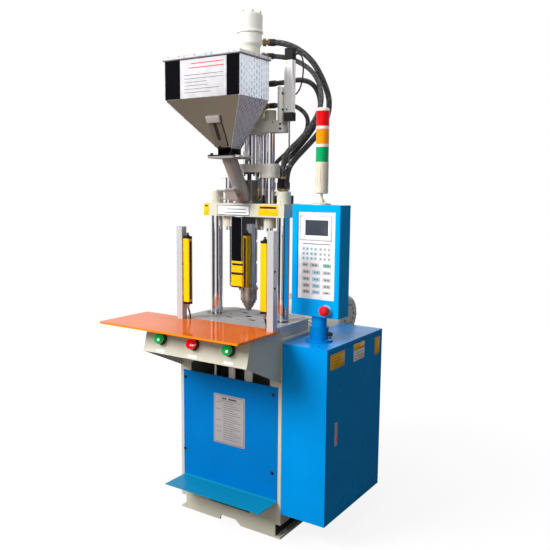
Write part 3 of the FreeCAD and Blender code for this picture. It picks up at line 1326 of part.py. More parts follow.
def latch_pivot(radius, half):
    """Pivot of the latch handle, across the door's cup."""
    x = CABINET_RIGHT + LATCH_PIN_X
    return rod(radius, 2 * half, x, LATCH_Y - half, LATCH_PIN_Z, Y_AXIS)


def make_hinge_pins():
    """Two pivot pins, top and bottom."""
    x, y = hinge_spot()
    y0, y1, z0, z1 = door_limits()
    low = rod(HINGE_R, HINGE_PIN, x, y, CABINET_BOTTOM + 6)
    high = rod(HINGE_R, HINGE_PIN, x, y, CABINET_TOP - 6 - HINGE_PIN)
    return [low, high]


def make_latch_handle():
    """Pull handle of the flush latch, pivoted near its top end, with the bore of the button."""
    x1 = CABINET_RIGHT + 1.5
    handle = box(x1 - 6, x1, LATCH_Y - LATCH_HALF, LATCH_Y + LATCH_HALF, LATCH_LOW, LATCH_HIGH)
    handle = handle.makeFillet(2, [e for e in handle.Edges if e.BoundBox.XLength > 5])
    hole = rod(LATCH_BUTTON_R + SLIDE_FIT, 10, x1 - 8, LATCH_Y, LATCH_BUTTON_Z, X_AXIS)
    return handle.cut(hole).fuse(latch_pivot(LATCH_PIN_R, LATCH_HALF + SEAT_GAP + 2))


def make_latch_button():
    """Push button of the latch."""
    x1 = CABINET_RIGHT + 1.5 + LATCH_TRAVEL
    button = rod(LATCH_BUTTON_R, LATCH_TRAVEL + 7, x1 - LATCH_TRAVEL - 7, LATCH_Y, LATCH_BUTTON_Z, X_AXIS)
    return button


def make_electrical_plate():
    """Mounting plate with controller, contactors and terminal rail."""
    x0 = CABINET_LEFT + SHEET
    face = x0 + ELECTRIC_PLATE
    y0, y1 = CABINET_FRONT + ELECTRIC_EDGE, CABINET_BACK - ELECTRIC_EDGE
    plate = box(x0, face, y0, y1, CABINET_BOTTOM + 60, CABINET_TOP - 70)
    width, height, depth = CONTROLLER
    top = CABINET_TOP - CONTROLLER_DROP
    start = y0 + ELECTRIC_EDGE
    blocks = [box(face - 1, face + depth, start, start + width, top - height, top)]
    width, height, depth = CONTACTOR
    top -= CONTROLLER[1] + DEVICE_GAP
    for k in range(CONTACTOR_COUNT):
        y = start + CONTACTOR_PITCH * k
        blocks.append(box(face - 1, face + depth, y, y + width, top - height, top))
    top -= height + TERMINAL_GAP
    height, depth = TERMINALS
    blocks.append(box(face - 1, face + depth, start, y1 - ELECTRIC_EDGE, top - height, top))
    return plate.fuse(blocks)


# ---- post, pendant and tower ----------------------------------------------------------------------------
def make_post_base():
    """Round flange and sleeve that hold the pendant's tube."""
    x, y = POST_BASE_X, POST_BASE_Y
    flange = rod(FLANGE_R, FLANGE_THICK, x, y, CABINET_TOP)
    sleeve = rod(SLEEVE_R, SLEEVE_TOP - CABINET_TOP, x, y, CABINET_TOP)
    base = flange.fuse(sleeve)
    base = base.cut(rod(TUBE_R + SLIDE_FIT, SLEEVE_TOP - CABINET_TOP - 5, x, y, CABINET_TOP + 6))
    base = base.cut(rod(18, 20, x, y, CABINET_TOP - 1))
    base = base.cut(rod(4 + SLIDE_FIT, SLEEVE_R + 2, x, y, KNOB_Z, X_AXIS))
    for k in range(4):
        angle = math.radians(90 * k + 45)
        reach = (FLANGE_R + SLEEVE_R) / 2
        base = base.fuse(rod(5, 4, x + reach * math.cos(angle), y + reach * math.sin(angle), CABINET_TOP + FLANGE_THICK))
    return base


def make_knob():
    """Clamp screw with a fluted knob, from the sleeve to the tube."""
    x0 = POST_BASE_X + TUBE_R + SEAT_GAP
    face = POST_BASE_X + SLEEVE_R + 4
    screw = rod(4, face - x0 + 1, x0, POST_BASE_Y, KNOB_Z, X_AXIS)
    grip = rod(KNOB_R, KNOB_LENGTH, face, POST_BASE_Y, KNOB_Z, X_AXIS)
    for k in range(6):
        angle = math.radians(60 * k)
        dy, dz = (KNOB_R + 2) * math.cos(angle), (KNOB_R + 2) * math.sin(angle)
        grip = grip.cut(rod(4, KNOB_LENGTH + 2, face - 1, POST_BASE_Y + dy, KNOB_Z + dz, X_AXIS))
    return screw.fuse(grip)


def make_pendant():
    """Control box with its tube, recessed front and closed back."""
    t = SHEET
    case = box(PENDANT_LEFT, PENDANT_RIGHT, PENDANT_FRONT, PENDANT_BACK, PENDANT_BOTTOM, PENDANT_TOP)
    case = case.makeFillet(PENDANT_EDGE, [e for e in case.Edges if upright(e)])
    recess = box(KEYPAD_LEFT, KEYPAD_RIGHT, PENDANT_FRONT - 1, PENDANT_FRONT + KEYPAD_RECESS, KEYPAD_BOTTOM, KEYPAD_TOP)
    case = case.cut(recess)
    back_room = box(
        PENDANT_LEFT + 8, PENDANT_RIGHT - 8,
        PENDANT_FRONT + KEYPAD_RECESS + 4, PENDANT_BACK - t,
        PENDANT_BOTTOM + 8, PENDANT_TOP - 8,
    )
    case = case.cut(back_room)
    foot = CABINET_TOP + 6 + SEAT_GAP
    post = rod(TUBE_R, PENDANT_BOTTOM + 4 - foot, POST_BASE_X, POST_BASE_Y, foot)
    post = post.cut(rod(TUBE_R - TUBE_WALL, PENDANT_BOTTOM + 10 - foot, POST_BASE_X, POST_BASE_Y, foot - 1))
    case = case.fuse(post)
    collar = tube(15, 9 + SLIDE_FIT, 3, ESTOP_X, PENDANT_FRONT - 3, ESTOP_Z, Y_AXIS)
    bore = rod(9 + SLIDE_FIT, 30, ESTOP_X, PENDANT_FRONT - 1, ESTOP_Z, Y_AXIS)
    return case.fuse(collar).cut(bore)


def make_keypad():
    """Keypad plate with the raised frame of the screen."""
    y1 = PENDANT_FRONT + KEYPAD_RECESS
    y0 = y1 - KEYPAD_THICK
    g = SEAT_GAP
    plate = box(KEYPAD_LEFT + g, KEYPAD_RIGHT - g, y0, y1, KEYPAD_BOTTOM + g, KEYPAD_TOP - g)
    x0, x1, z0, z1 = SCREEN
    f = SCREEN_FRAME
    frame = box(x0 - f, x1 + f, y0 - 1.5, y0 + 1, z0 - f, z1 + f)
    plate = plate.fuse(frame.makeFillet(4, [e for e in frame.Edges if e.BoundBox.YLength > 2]))
    return plate.cut(box(x0, x1, y0 - 3, y0 + 1, z0, z1))


def make_estop():
    """Mushroom emergency-stop button."""
    start = PENDANT_FRONT - 3 - ESTOP_TRAVEL - SEAT_GAP
    profile = [(0, 0), (ESTOP_R - 4, 0), (ESTOP_R, 6), (ESTOP_R, 14), (ESTOP_R - 7, ESTOP_HEIGHT - 3), (0, ESTOP_HEIGHT)]
    head = turned(profile, 0, 0)
    head.rotate(Vector(0, 0, 0), X_AXIS, 90)
    head.translate(Vector(ESTOP_X, start, ESTOP_Z))
    return head.fuse(rod(9, 24, ESTOP_X, start, ESTOP_Z, Y_AXIS))


def make_tower_body():
    """Tower foot, stem, buzzer body, rings and cap."""
    x, y = POST_BASE_X, POST_BASE_Y
    z = PENDANT_TOP
    r = TOWER_BODY_R
    foot = [
        (0, z), (TOWER_BASE_R, z), (TOWER_BASE_R, z + TOWER_BASE), (14, z + TOWER_BASE + 6),
        (9, z + TOWER_BASE + TOWER_CONE), (TOWER_STEM_R, z + TOWER_BASE + TOWER_CONE),
        (TOWER_STEM_R, TOWER_BODY_Z), (r - 4, TOWER_BODY_Z), (r, TOWER_BODY_Z + 4),
        (r, TOWER_BODY_Z + 26), (r - 0.8, TOWER_BODY_Z + 27), (r, TOWER_BODY_Z + 28),
        (r, LENS_Z), (12, LENS_Z), (12, lens_level(3)), (r, lens_level(3)),
        (r, lens_level(3) + TOWER_CAP - 3), (r - 4, lens_level(3) + TOWER_CAP), (0, lens_level(3) + TOWER_CAP),
    ]
    body = turned(foot, x, y)
    for k in (1, 2):
        low = lens_level(k) - LENS_RING
        body = body.fuse(rod(r, LENS_RING, x, y, low))
    for k in range(5):
        angle = math.radians(-100 + 30 * k)
        sx, sy = x + r * math.cos(angle), y + r * math.sin(angle)
        body = body.cut(rod(1.5, 60, sx, sy, TOWER_BODY_Z + 40))
    return body


def lens_level(k):
    """Foot height of lens number k; number 3 is the cap."""
    level = LENS_Z + k * (LENS_HEIGHT + LENS_RING)
    return level - LENS_RING if k == 3 else level


def make_lenses():
    """Green, orange and red lens sleeves."""
    lenses = []
    for k in range(3):
        lenses.append(tube(LENS_R, 12, LENS_HEIGHT, POST_BASE_X, POST_BASE_Y, lens_level(k)))
    return lenses


# ---- tank and pump --------------------------------------------------------------------------------------
def make_tank():
    """Oil tank on the channels, with cover flange, filler and cradle for the motor."""
    y0 = BASE_BACK + TANK_FRONT_GAP
    y1 = BASE_FRONT + FOOT_DEPTH
    h = TANK_HALF
    tank = box(-h, h, y0, y1, TANK_BOTTOM, TANK_TOP)
    tank = tank.makeFillet(8, [e for e in tank.Edges if upright(e)])
    lip = box(-h - 5, h + 5, y0 - 5, y1 + 5, TANK_TOP - 6, TANK_TOP)
    tank = tank.fuse(lip)
    w = TANK_WALL
    tank = tank.cut(box(-h + w, h - w, y0 + w, y1 - w, TANK_BOTTOM + w, TANK_TOP - 10))
    x, y = FILLER_INSET[0] - h, y1 - FILLER_INSET[1]
    tank = tank.fuse(tube(FILLER_R, FILLER_R - 8, FILLER_NECK, x, y, TANK_TOP))
    tank = tank.fuse(rod(FILLER_R + 4, FILLER_CAP, x, y, TANK_TOP + FILLER_NECK - 2))
    for x in (PUMP_MOTOR_LEFT + 12, PUMP_MOTOR_RIGHT - 52):
        cradle = box(x, x + 40, PUMP_MOTOR_Y - 70, PUMP_MOTOR_Y + 70, TANK_TOP, PUMP_MOTOR_Z - 30)
        tank = tank.fuse(cradle.cut(rod(PUMP_MOTOR_R, 60, x - 10, PUMP_MOTOR_Y, PUMP_MOTOR_Z, X_AXIS)))
    stand = box(-96, -70, PUMP_MOTOR_Y - 40, PUMP_MOTOR_Y + 40, TANK_TOP, PUMP_MOTOR_Z - 20)
    return tank.fuse(stand.cut(rod(PUMP_R, 60, -110, PUMP_MOTOR_Y, PUMP_MOTOR_Z, X_AXIS)))


def make_pump_motor():
    """Finned electric motor with its terminal box."""
    x0, length = PUMP_MOTOR_LEFT, PUMP_MOTOR_RIGHT - PUMP_MOTOR_LEFT
    inner = PUMP_MOTOR_R - FIN_DEPTH
    body = rod(inner, length, x0, PUMP_MOTOR_Y, PUMP_MOTOR_Z, X_AXIS)
    fins = []
    for k in range(FIN_COUNT):
        fin = box(x0 + 14, x0 + length - 14, -FIN_THICK / 2, FIN_THICK / 2, inner - 2, PUMP_MOTOR_R - SEAT_GAP)
        fin.rotate(Vector(0, 0, 0), X_AXIS, 360.0 * k / FIN_COUNT)
        fin.translate(Vector(0, PUMP_MOTOR_Y, PUMP_MOTOR_Z))
        fins.append(fin)
    for x in (x0, x0 + length - 14):
        fins.append(rod(PUMP_MOTOR_R, 14, x, PUMP_MOTOR_Y, PUMP_MOTOR_Z, X_AXIS))
    low, high = inner - 10, PUMP_MOTOR_R + TERMINAL_BOX[2]
    x, half = x0 + TERMINAL_BOX_X, TERMINAL_BOX[1] / 2
    terminal = box(
        x, x + TERMINAL_BOX[0], PUMP_MOTOR_Y - half, PUMP_MOTOR_Y + half,
        PUMP_MOTOR_Z + low, PUMP_MOTOR_Z + high,
    )
    return body.fuse(fins + [terminal])


def make_cowl():
    """Rounded fan cowl on the motor's right end."""
    length = COWL_RIGHT - PUMP_MOTOR_RIGHT
    cowl = rod(PUMP_MOTOR_R + 2, length, PUMP_MOTOR_RIGHT, PUMP_MOTOR_Y, PUMP_MOTOR_Z, X_AXIS)
    rim = [e for e in cowl.Edges if e.BoundBox.XMin > COWL_RIGHT - 1]
    cowl = cowl.makeFillet(COWL_ROUND, rim)
    hollow = rod(PUMP_MOTOR_R - 10, length - 6, PUMP_MOTOR_RIGHT, PUMP_MOTOR_Y, PUMP_MOTOR_Z, X_AXIS)
    cowl = cowl.cut(hollow)
    for k in range(12):
        angle = math.radians(30 * k)
        dy, dz = 46 * math.cos(angle), 46 * math.sin(angle)
        cowl = cowl.cut(rod(8, 20, COWL_RIGHT - 10, PUMP_MOTOR_Y + dy, PUMP_MOTOR_Z + dz, X_AXIS))
    return cowl


def make_pump():
    """Bell housing and gear pump on the motor's left end."""
    x = PUMP_MOTOR_LEFT - BELL_LENGTH
    bell = rod(BELL_R, BELL_LENGTH, x, PUMP_MOTOR_Y, PUMP_MOTOR_Z, X_AXIS)
    pump = rod(PUMP_R, PUMP_LENGTH, x - PUMP_LENGTH, PUMP_MOTOR_Y, PUMP_MOTOR_Z, X_AXIS)
    port = rod(14, 30, x - 30, PUMP_MOTOR_Y, PUMP_MOTOR_Z + PUMP_R - 4)
    return bell.fuse([pump, port])


# ---- manifold, fittings and hoses -----------------------------------------------------------------------
def make_manifold():
    """Oil manifold block bolted on the rear of the platen."""
    x0, x1, y0, y1 = MANIFOLD
    block = box(x0, x1, y0, y1, PLATEN_TOP, PLATEN_TOP + MANIFOLD_HEIGHT)
    block = block.makeChamfer(3, [e for e in block.Edges if upright(e)])
    for x in MANIFOLD_PORTS:
        block = block.cut(rod(6, 20, x, MANIFOLD_Y, PLATEN_TOP + MANIFOLD_HEIGHT - 20))
    return block


def manifold_port(index):
    """Point where a hose meets its ferrule above the manifold."""
    return Vector(MANIFOLD_PORTS[index], MANIFOLD_Y, PLATEN_TOP + MANIFOLD_HEIGHT + FITTING)


def side_port(reach, angle, height):
    """Hose end on a fitting that leaves the axis at an angle in plan, and that fitting's direction."""
    out = Vector(math.cos(math.radians(angle)), math.sin(math.radians(angle)), 0)
    return out * (reach + FITTING) + Vector(0, 0, height), out


def block_port(height):
    """Hose end on the right face of the injection cylinder."""
    return Vector(CYLINDER_HALF + FITTING, PORT_Y, height), Vector(X_AXIS)


def hose_ends():
    """Both ends of each hose: point and direction out of the fitting."""
    nut_top = Vector(BAR_X, NUT_PORT_Y, PLATEN_TOP + BAR_NUT_HEIGHT + NUT_FITTING)
    up = Vector(Z_AXIS)
    coolant_top = Vector(FEED_HALF + ELBOW_REACH, 0, PLATEN_TOP + FEED_BASE + ELBOW_RISE)
    bulkhead = Vector(BULKHEAD_X, BULKHEAD_Y, PLATEN_TOP + BULKHEAD)
    return {
        "motor_hose": (side_port(MOTOR_PORT_R, MOTOR_PORT_ANGLE, MOTOR_PORT_Z), (manifold_port(2), up)),
        "upper_hose": (side_port(UPPER_PORT_R, 45, UPPER_PORT_Z), (nut_top, up)),
        "return_hose": (block_port(RETURN_PORT_Z), (manifold_port(1), up)),
        "lower_hose": (block_port(LOWER_PORT_Z), (manifold_port(0), up)),
        "coolant_hose": ((coolant_top, up), (bulkhead, up)),
    }


def hose_route(name):
    """Route points of a hose: its two ends, a straight lead at each, and the hand-laid middle."""
    first, last = hose_ends()[name]
    lead = HOSE_LEAD[name]
    points = [first[0], first[0] + first[1] * lead[0]]
    points += [Vector(*p) for p in HOSE_MIDDLE[name]]
    return points + [last[0] + last[1] * lead[1], last[0]]


def cable_route():
    """Route of the transducer's cable from its top cap to the clip behind it."""
    start = Vector(RAIL_X + RAIL_WIDTH + 2, RAIL_Y + RAIL_DEPTH / 2, RAIL_TOP + RAIL_CAP / 2)
    end = Vector(RAIL_X, RAIL_Y + RAIL_DEPTH + 8, BRACKET_TOP - 28)
    middle = [start + Vector(*p) for p in CABLE_MIDDLE]
    return [start, start + Vector(22, 0, 0)] + middle + [end + Vector(22, 0, 0), end]


def curtain_route(side, post_x):
    """Route of a light curtain's cable down to the shelf."""
    x = curtain_left_x(side, post_x) + CURTAIN_WIDTH / 2
    top, low = CURTAIN_LOW, TABLE_TOP
    points = [(0, 0, top), (0, 0, top - 14), (2, 4, top - 30), (4, 8, low + 18), (4, 8, low)]
    return [Vector(x + dx, POST_Y + dy, z) for dx, dy, z in points]


def rounded_path(points):
    """Straight runs joined by tangent arcs, as one wire."""
    edges = []
    start = points[0]
    for before, corner, after in zip(points, points[1:], points[2:]):
        run_in, run_out = corner - before, after - corner
        half_turn = run_in.getAngle(run_out) / 2
        reach = 0.45 * min(run_in.Length, run_out.Length)
        enter = corner - run_in.normalize() * reach
        leave = corner + run_out.normalize() * reach
        radius = reach / math.tan(half_turn)
        inward = (enter + leave - corner * 2).normalize()
        middle = corner + inward * (radius / math.cos(half_turn) - radius)
        edges.append(Part.LineSegment(start, enter).toShape())
        edges.append(Part.Arc(enter, middle, leave).toShape())
        start = leave
    edges.append(Part.LineSegment(start, points[-1]).toShape())
    return Part.Wire(edges)


def make_cord(points, radius):
    """Round cord along a route."""
    path = rounded_path(points)
    along = points[1] - points[0]
    ring = Part.Wire([Part.makeCircle(radius, points[0], along)])
    return path.makePipeShell([ring], True, False)


def hexagon(centre, out, flat, height):
    """Hexagonal prism from a centre point along a direction, flat being half its width."""
    side = out.cross(Z_AXIS) if abs(out.z) < 0.9 else Vector(X_AXIS)
    side.normalize()
    other = out.cross(side)
    points = []
    for k in range(6):
        angle = math.radians(60 * k + 30)
        points.append(centre + (side * math.cos(angle) + other * math.sin(angle)) * (flat / math.cos(math.pi / 6)))
    return Part.Face(Part.makePolygon(points + [points[0]])).extrude(out * height)


def make_fitting(end, out, length, radius):
    """Hose fitting: threaded nose, hexagon and ferrule, ending at the hose."""
    out = Vector(out).normalize()
    foot = end - out * length
    nose = Part.makeCylinder(radius - 3, length - FERRULE + 1, foot, out)
    ferrule = Part.makeCylinder(radius + 2, FERRULE, end - out * FERRULE, out)
    nut = hexagon(foot + out * 3, out, radius + 1.5, FITTING_HEX)
    return nose.fuse([ferrule, nut])


def make_hose_fittings():
    """All fittings at the hoses' ends, with the elbow and the bulkhead of the coolant line."""
    fittings = []
    for name, ends in hose_ends().items():
        if name == "coolant_hose":
            continue
        for end, out in ends:
            length = NUT_FITTING if abs(end.x - BAR_X) < 1 else FITTING
            fittings.append(make_fitting(end, out, length, HOSE_R[name]))
    top, bulkhead = (end for end, out in hose_ends()["coolant_hose"])
    level = PLATEN_TOP + FEED_BASE + 18
    elbow = rod(5, top.z - level, top.x, top.y, level)
    arm = rod(5, ELBOW_REACH, FEED_HALF, 0, level, X_AXIS)
    knuckle = box(top.x - 7, top.x + 7, -7, 7, level - 7, level + 7)
    fittings.append(elbow.fuse([arm, knuckle, rod(8.5, 12, top.x, top.y, top.z - 16)]))
    fittings.append(rod(6, BULKHEAD, bulkhead.x, bulkhead.y, PLATEN_TOP))
    fittings[-1] = fittings[-1].fuse(rod(9, 10, bulkhead.x, bulkhead.y, PLATEN_TOP))
    return fittings


def main():
    """Build and write every node."""
    save("base_frame", make_base_frame())
    save("front_panel", make_front_panel())
    save("work_table", make_work_table())
    save("tie_bar_bushings", *make_bushings())
    save("console_housing", make_console())
    save("shelf_plate", make_shelf())
    save("button_bezels", *make_bezels())
    save("start_button_left", make_button(BUTTON_X[0]))
    save("stop_button", make_button(BUTTON_X[1]))
    save("start_button_right", make_button(BUTTON_X[2]))
    save("curtain_posts", *make_curtain_posts())
    save("curtain_housings", *make_curtain_bars())
    cables = [make_cord(curtain_route(side, x), CABLE_R) for side, x in zip((-1, 1), POST_X)]
    save("curtain_cables", *cables)
    save("clamp_rod", make_clamp_rod())
    save("oil_tank", make_tank())
    save("pump_unit", make_pump_motor(), make_cowl(), make_pump())
    save("cabinet_shell", make_cabinet(), *make_hinge_pins())
    save("electrical_plate", make_electrical_plate())
    save("post_base", make_post_base())
    save("platen", make_platen())
    save("tie_bars", *make_tie_bars())
    save("rod_nuts", *make_bar_nuts(), *make_guide_nuts())
    save("lower_yoke", make_yoke())
    save("clamp_cylinder", make_clamp_cylinder())
    save("guide_rods", *make_guide_rods())
    save("feed_block", make_feed_block())
    save("barrel", make_barrel())
    save("nozzle", make_nozzle())
    save("heater_bands", *make_heater_bands())
    save("barrel_cover", make_barrel_cover())
    save("top_crosshead", make_top_beam().fuse(make_bracket()))
    save("injection_cylinder", make_injection_cylinder())
    save("hydraulic_motor", make_hydraulic_motor())
    save("hopper_body", *make_hopper())
    save("hopper_lid", make_lid())
    save("feed_pipe", make_feed_pipe())
    save("transducer_body", make_transducer())
    save("platen_manifold", make_manifold())
    save("hose_fittings", *make_hose_fittings())
    for name, radius in HOSE_R.items():
        save(name, make_cord(hose_route(name), radius))
    save("transducer_cable", make_cord(cable_route(), CABLE_THIN_R))
    save("mid_crosshead", make_mid_beam())
    save("piston_rod", make_piston_rod())
    save("transducer_rod", make_transducer_rod())
    save("screw", make_screw())
    save("hopper_gate", make_gate_slide())
    save("drain_shutter", make_drain_shutter())
    save("cabinet_door", make_door())
    save("latch_handle", make_latch_handle())
    save("latch_button", make_latch_button())
    save("pendant_box", make_pendant())
    save("keypad_panel", make_keypad())
    save("estop_button", make_estop())
    save("tower_body", make_tower_body())
    save("tower_lenses", *make_lenses())
    save("clamp_knob", make_knob())


main()
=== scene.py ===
"""Looks of the vertical injection moulding machine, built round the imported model.

Places of pieces are millimetres in the machine's own frame and become metres when a mesh is made. Limits
inside finishes are metres, because a material reads its object coordinates in metres.
"""

import contextlib
import itertools
import math
import random

import bmesh
import bpy
from mathutils import Matrix, Vector


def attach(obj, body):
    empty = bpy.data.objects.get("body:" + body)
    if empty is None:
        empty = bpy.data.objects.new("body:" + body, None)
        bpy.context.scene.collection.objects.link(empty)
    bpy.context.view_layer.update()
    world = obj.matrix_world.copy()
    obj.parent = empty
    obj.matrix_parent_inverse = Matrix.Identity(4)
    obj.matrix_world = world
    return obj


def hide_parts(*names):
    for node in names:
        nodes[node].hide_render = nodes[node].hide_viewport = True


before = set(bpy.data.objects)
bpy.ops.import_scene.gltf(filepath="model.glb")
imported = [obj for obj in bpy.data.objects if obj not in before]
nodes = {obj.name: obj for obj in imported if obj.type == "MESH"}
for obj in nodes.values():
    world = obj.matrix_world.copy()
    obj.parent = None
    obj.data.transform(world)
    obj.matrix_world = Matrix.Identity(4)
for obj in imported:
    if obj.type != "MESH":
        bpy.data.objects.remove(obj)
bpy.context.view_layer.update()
MM = 0.001
SMOOTH_ANGLE = 35.0  # degrees; sharper edges stay sharp
random.seed(7)


# ---- camera ----
def make_camera():
    """Camera at the photograph's place, direction and lens."""
    right = Vector((0.83701526, 0.54709997, 0.00933104))
    up = Vector((-0.07697287, 0.10084413, 0.99192018))
    back = Vector((0.54173852, -0.83097057, 0.12651993))
    turn = Matrix((right, up, back)).transposed().to_4x4()
    data = bpy.data.cameras.new("camera")
    data.lens = 44.103
    data.sensor_width = 36.0
    data.clip_end = 50.0
    place = Vector((1650.14, -2327.63, 1418.68)) * MM
    camera = add_object("camera", data)
    camera.matrix_world = Matrix.Translation(place) @ turn
    bpy.context.scene.camera = camera


# ---- node helpers ----
class Nodes:
    """A node tree, with short names for the nodes that it is made of."""

    def __init__(self, tree):
        self.tree = tree

    def node(self, kind, **settings):
        node = self.tree.nodes.new("ShaderNode" + kind)
        for key, value in settings.items():
            setattr(node, key, value)
        return node

    def link(self, start, end):
        self.tree.links.new(start, end)

    def feed(self, socket, value):
        """Connect or set a socket."""
        if isinstance(value, bpy.types.NodeSocket):
            self.link(value, socket)
        elif isinstance(value, tuple) and len(value) == 3 and socket.type == "RGBA":
            socket.default_value = (*value, 1.0)
        else:
            socket.default_value = value

    def fed(self, kind, *values, **settings):
        """First output of a node whose sockets are fed in order."""
        node = self.node(kind, **settings)
        for socket, value in zip(node.inputs, values):
            self.feed(socket, value)
        return node.outputs[0]

    def math(self, operation, a, b=0.0, clamp=False):
        return self.fed("Math", a, b, operation=operation, use_clamp=clamp)

    def mul(self, *factors):
        """Product of two or more values."""
        result = factors[0]
        for factor in factors[1:]:
            result = self.math("MULTIPLY", result, factor)
        return result

    def add(self, a, b):
        return self.math("ADD", a, b)

    def sub(self, a, b):
        return self.math("SUBTRACT", a, b)

    def flip(self, mask):
        """1 where a mask is 0."""
        return self.math("SUBTRACT", 1.0, mask, True)

    def remap(self, value, low, high, to_low=0.0, to_high=1.0):
        """Linear map between two ranges, held at its ends."""
        return self.fed("MapRange", value, low, high, to_low, to_high)

    def mix(self, factor, a, b):
        node = self.node("Mix", data_type="RGBA")
        for socket, value in (("Factor", factor), ("A", a), ("B", b)):
            self.feed(node.inputs[socket], value)
        return node.outputs["Result"]

    def split(self, vector):
        """The three numbers of a vector."""
        node = self.node("SeparateXYZ")
        self.link(vector, node.inputs[0])
        return node.outputs

    def vector(self, operation, *values):
        """Number that a vector operation gives."""
        node = self.node("VectorMath", operation=operation)
        for socket, value in zip(node.inputs, values):
            self.feed(socket, value)
        return node.outputs["Value"]


class Look(Nodes):
    """One procedural material."""

    def __init__(self, name, color, roughness, metallic=0.0):
        self.material = bpy.data.materials.new(name)
        self.material.use_nodes = True
        super().__init__(self.material.node_tree)
        self.shader = self.tree.nodes["Principled BSDF"]
        self.set("Base Color", (*color, 1.0))
        self.set("Roughness", roughness)
        self.set("Metallic", metallic)

    def set(self, socket, value):
        """Give one of the shader's sockets a value or a link."""
        self.feed(self.shader.inputs[socket], value)

    def coords(self, stretch=(1, 1, 1), shift=(0, 0, 0)):
        """Object coordinates in metres, stretched."""
        source = self.node("TexCoord").outputs["Object"]
        mapping = self.node("Mapping")
        mapping.inputs["Scale"].default_value = stretch
        mapping.inputs["Location"].default_value = shift
        self.link(source, mapping.inputs["Vector"])
        return mapping.outputs["Vector"]

    def noise(self, scale, detail=2.0, stretch=(1, 1, 1), rough=0.5):
        """Noise with about so many grains to the metre."""
        texture = self.node("TexNoise")
        for socket, value in (("Scale", scale), ("Detail", detail), ("Roughness", rough)):
            texture.inputs[socket].default_value = value
        self.link(self.coords(stretch), texture.inputs["Vector"])
        return texture.outputs["Fac"]

    def clouds(self, noise, low, high, one, other):
        """Two colours mixed by a noise between two of its levels."""
        return self.mix(self.remap(noise, low, high), one, other)

    def axis(self, index):
        """One object coordinate in metres."""
        return self.split(self.coords())[index]

    def above(self, index, limit, soft=0.0005):
        """1 where a coordinate is over a limit."""
        return self.remap(self.axis(index), limit - soft, limit + soft)

    def below(self, index, limit, soft=0.0005):
        return self.flip(self.above(index, limit, soft))

    def within(self, index, low, high):
        """1 between two limits of a coordinate."""
        return self.mul(self.above(index, low), self.below(index, high))

    def edges(self, radius):
        """Normal rounded at edges, and a mask that is 1 on them."""
        bevel = self.node("Bevel", samples=4)
        bevel.inputs["Radius"].default_value = radius
        normal = bevel.outputs["Normal"]
        dot = self.vector("DOT_PRODUCT", normal, self.node("NewGeometry").outputs["Normal"])
        return normal, self.remap(dot, 0.97, 0.86)

    def bump(self, height, distance, strength, normal=None):
        node = self.node("Bump")
        node.inputs["Strength"].default_value = strength
        node.inputs["Distance"].default_value = distance
        self.link(height, node.inputs["Height"])
        if normal is not None:
            self.link(normal, node.inputs["Normal"])
        self.set("Normal", node.outputs["Normal"])

    def roughness(self, low, high, factor):
        self.set("Roughness", self.remap(factor, 0.3, 0.7, low, high))

    def finish(self, base, extra, radius, wear, worn, height, distance, strength):
        """What differs on the surface, then its worn edges and its bump."""
        if extra:
            base = extra(self, base)
        normal, edge = self.edges(radius)
        self.set("Base Color", self.mix(self.mul(edge, wear), base, worn))
        self.bump(height, distance, strength, normal)
        return self.material


def tint(color, factor):
    """Darker or paler colour."""
    return tuple(min(1.0, c * factor) for c in color)


# ---- kinds of surface ----
EVEN = (1, 1, 1)


def paint(name, color, roughness, wear=0.25, extra=None, specular=0.5, sheen=None):
    """Sprayed or powder-coated sheet: orange peel, faint cloudiness and thin paint on the edges."""
    look = Look(name, color, roughness)
    look.set("Specular IOR Level", specular)
    if sheen:
        level = look.split(look.node("NewGeometry").outputs["Normal"])[2]
        look.set("Specular IOR Level", look.remap(level, 0.6, 0.9, specular, sheen))
    base = look.clouds(look.noise(5.0, 3.0), 0.3, 0.7, tint(color, 0.93), tint(color, 1.05))
    look.roughness(roughness - 0.05, roughness + 0.07, look.noise(22.0, 3.0))
    patches = look.remap(look.noise(60.0, 4.0), 0.45, 0.75, 0.0, wear)
    worn = tuple(0.55 * c + 0.3 for c in color)
    return look.finish(base, extra, 0.0012, patches, worn, look.noise(750.0), 0.00025, 0.35)


def metal(name, color, roughness, streak=EVEN, scale=220.0, spread=0.08, bump=0.15, extra=None, shade=0.12):
    """Bare metal with machining streaks in its gloss and tone."""
    look = Look(name, color, roughness, 1.0)
    streaks = look.noise(scale, 4.0, streak, 0.65)
    base = look.clouds(streaks, 0.3, 0.7, tint(color, 1 - shade), tint(color, 1 + shade * 0.6))
    look.roughness(max(0.02, roughness - spread), roughness + spread, streaks)
    return look.finish(base, extra, 0.0008, 0.5, tint(color, 1.35), streaks, 0.0002, bump)


def plastic(name, color, roughness, grain=1400.0, bump=0.2, extra=None):
    """Moulded plastic or rubber with a fine grain."""
    look = Look(name, color, roughness)
    base = look.clouds(look.noise(35.0, 3.0), 0.3, 0.7, tint(color, 0.9), tint(color, 1.08))
    look.roughness(roughness - 0.06, roughness + 0.08, look.noise(90.0, 3.0))
    worn = tuple(0.8 * c + 0.08 for c in color)
    return look.finish(base, extra, 0.0008, 0.25, worn, look.noise(grain), 0.0002, bump)


def anodised(name, color, roughness, metallic=0.3, extra=None):
    """Satin metal with faint lengthwise streaks."""
    look = Look(name, color, roughness, metallic)
    streaks = look.noise(420.0, 3.0, (1, 1, 0.02))
    base = look.clouds(streaks, 0.35, 0.65, tint(color, 0.94), tint(color, 1.04))
    return look.finish(base, extra, 0.0006, 0.5, tint(color, 1.2), streaks, 0.0001, 0.1)


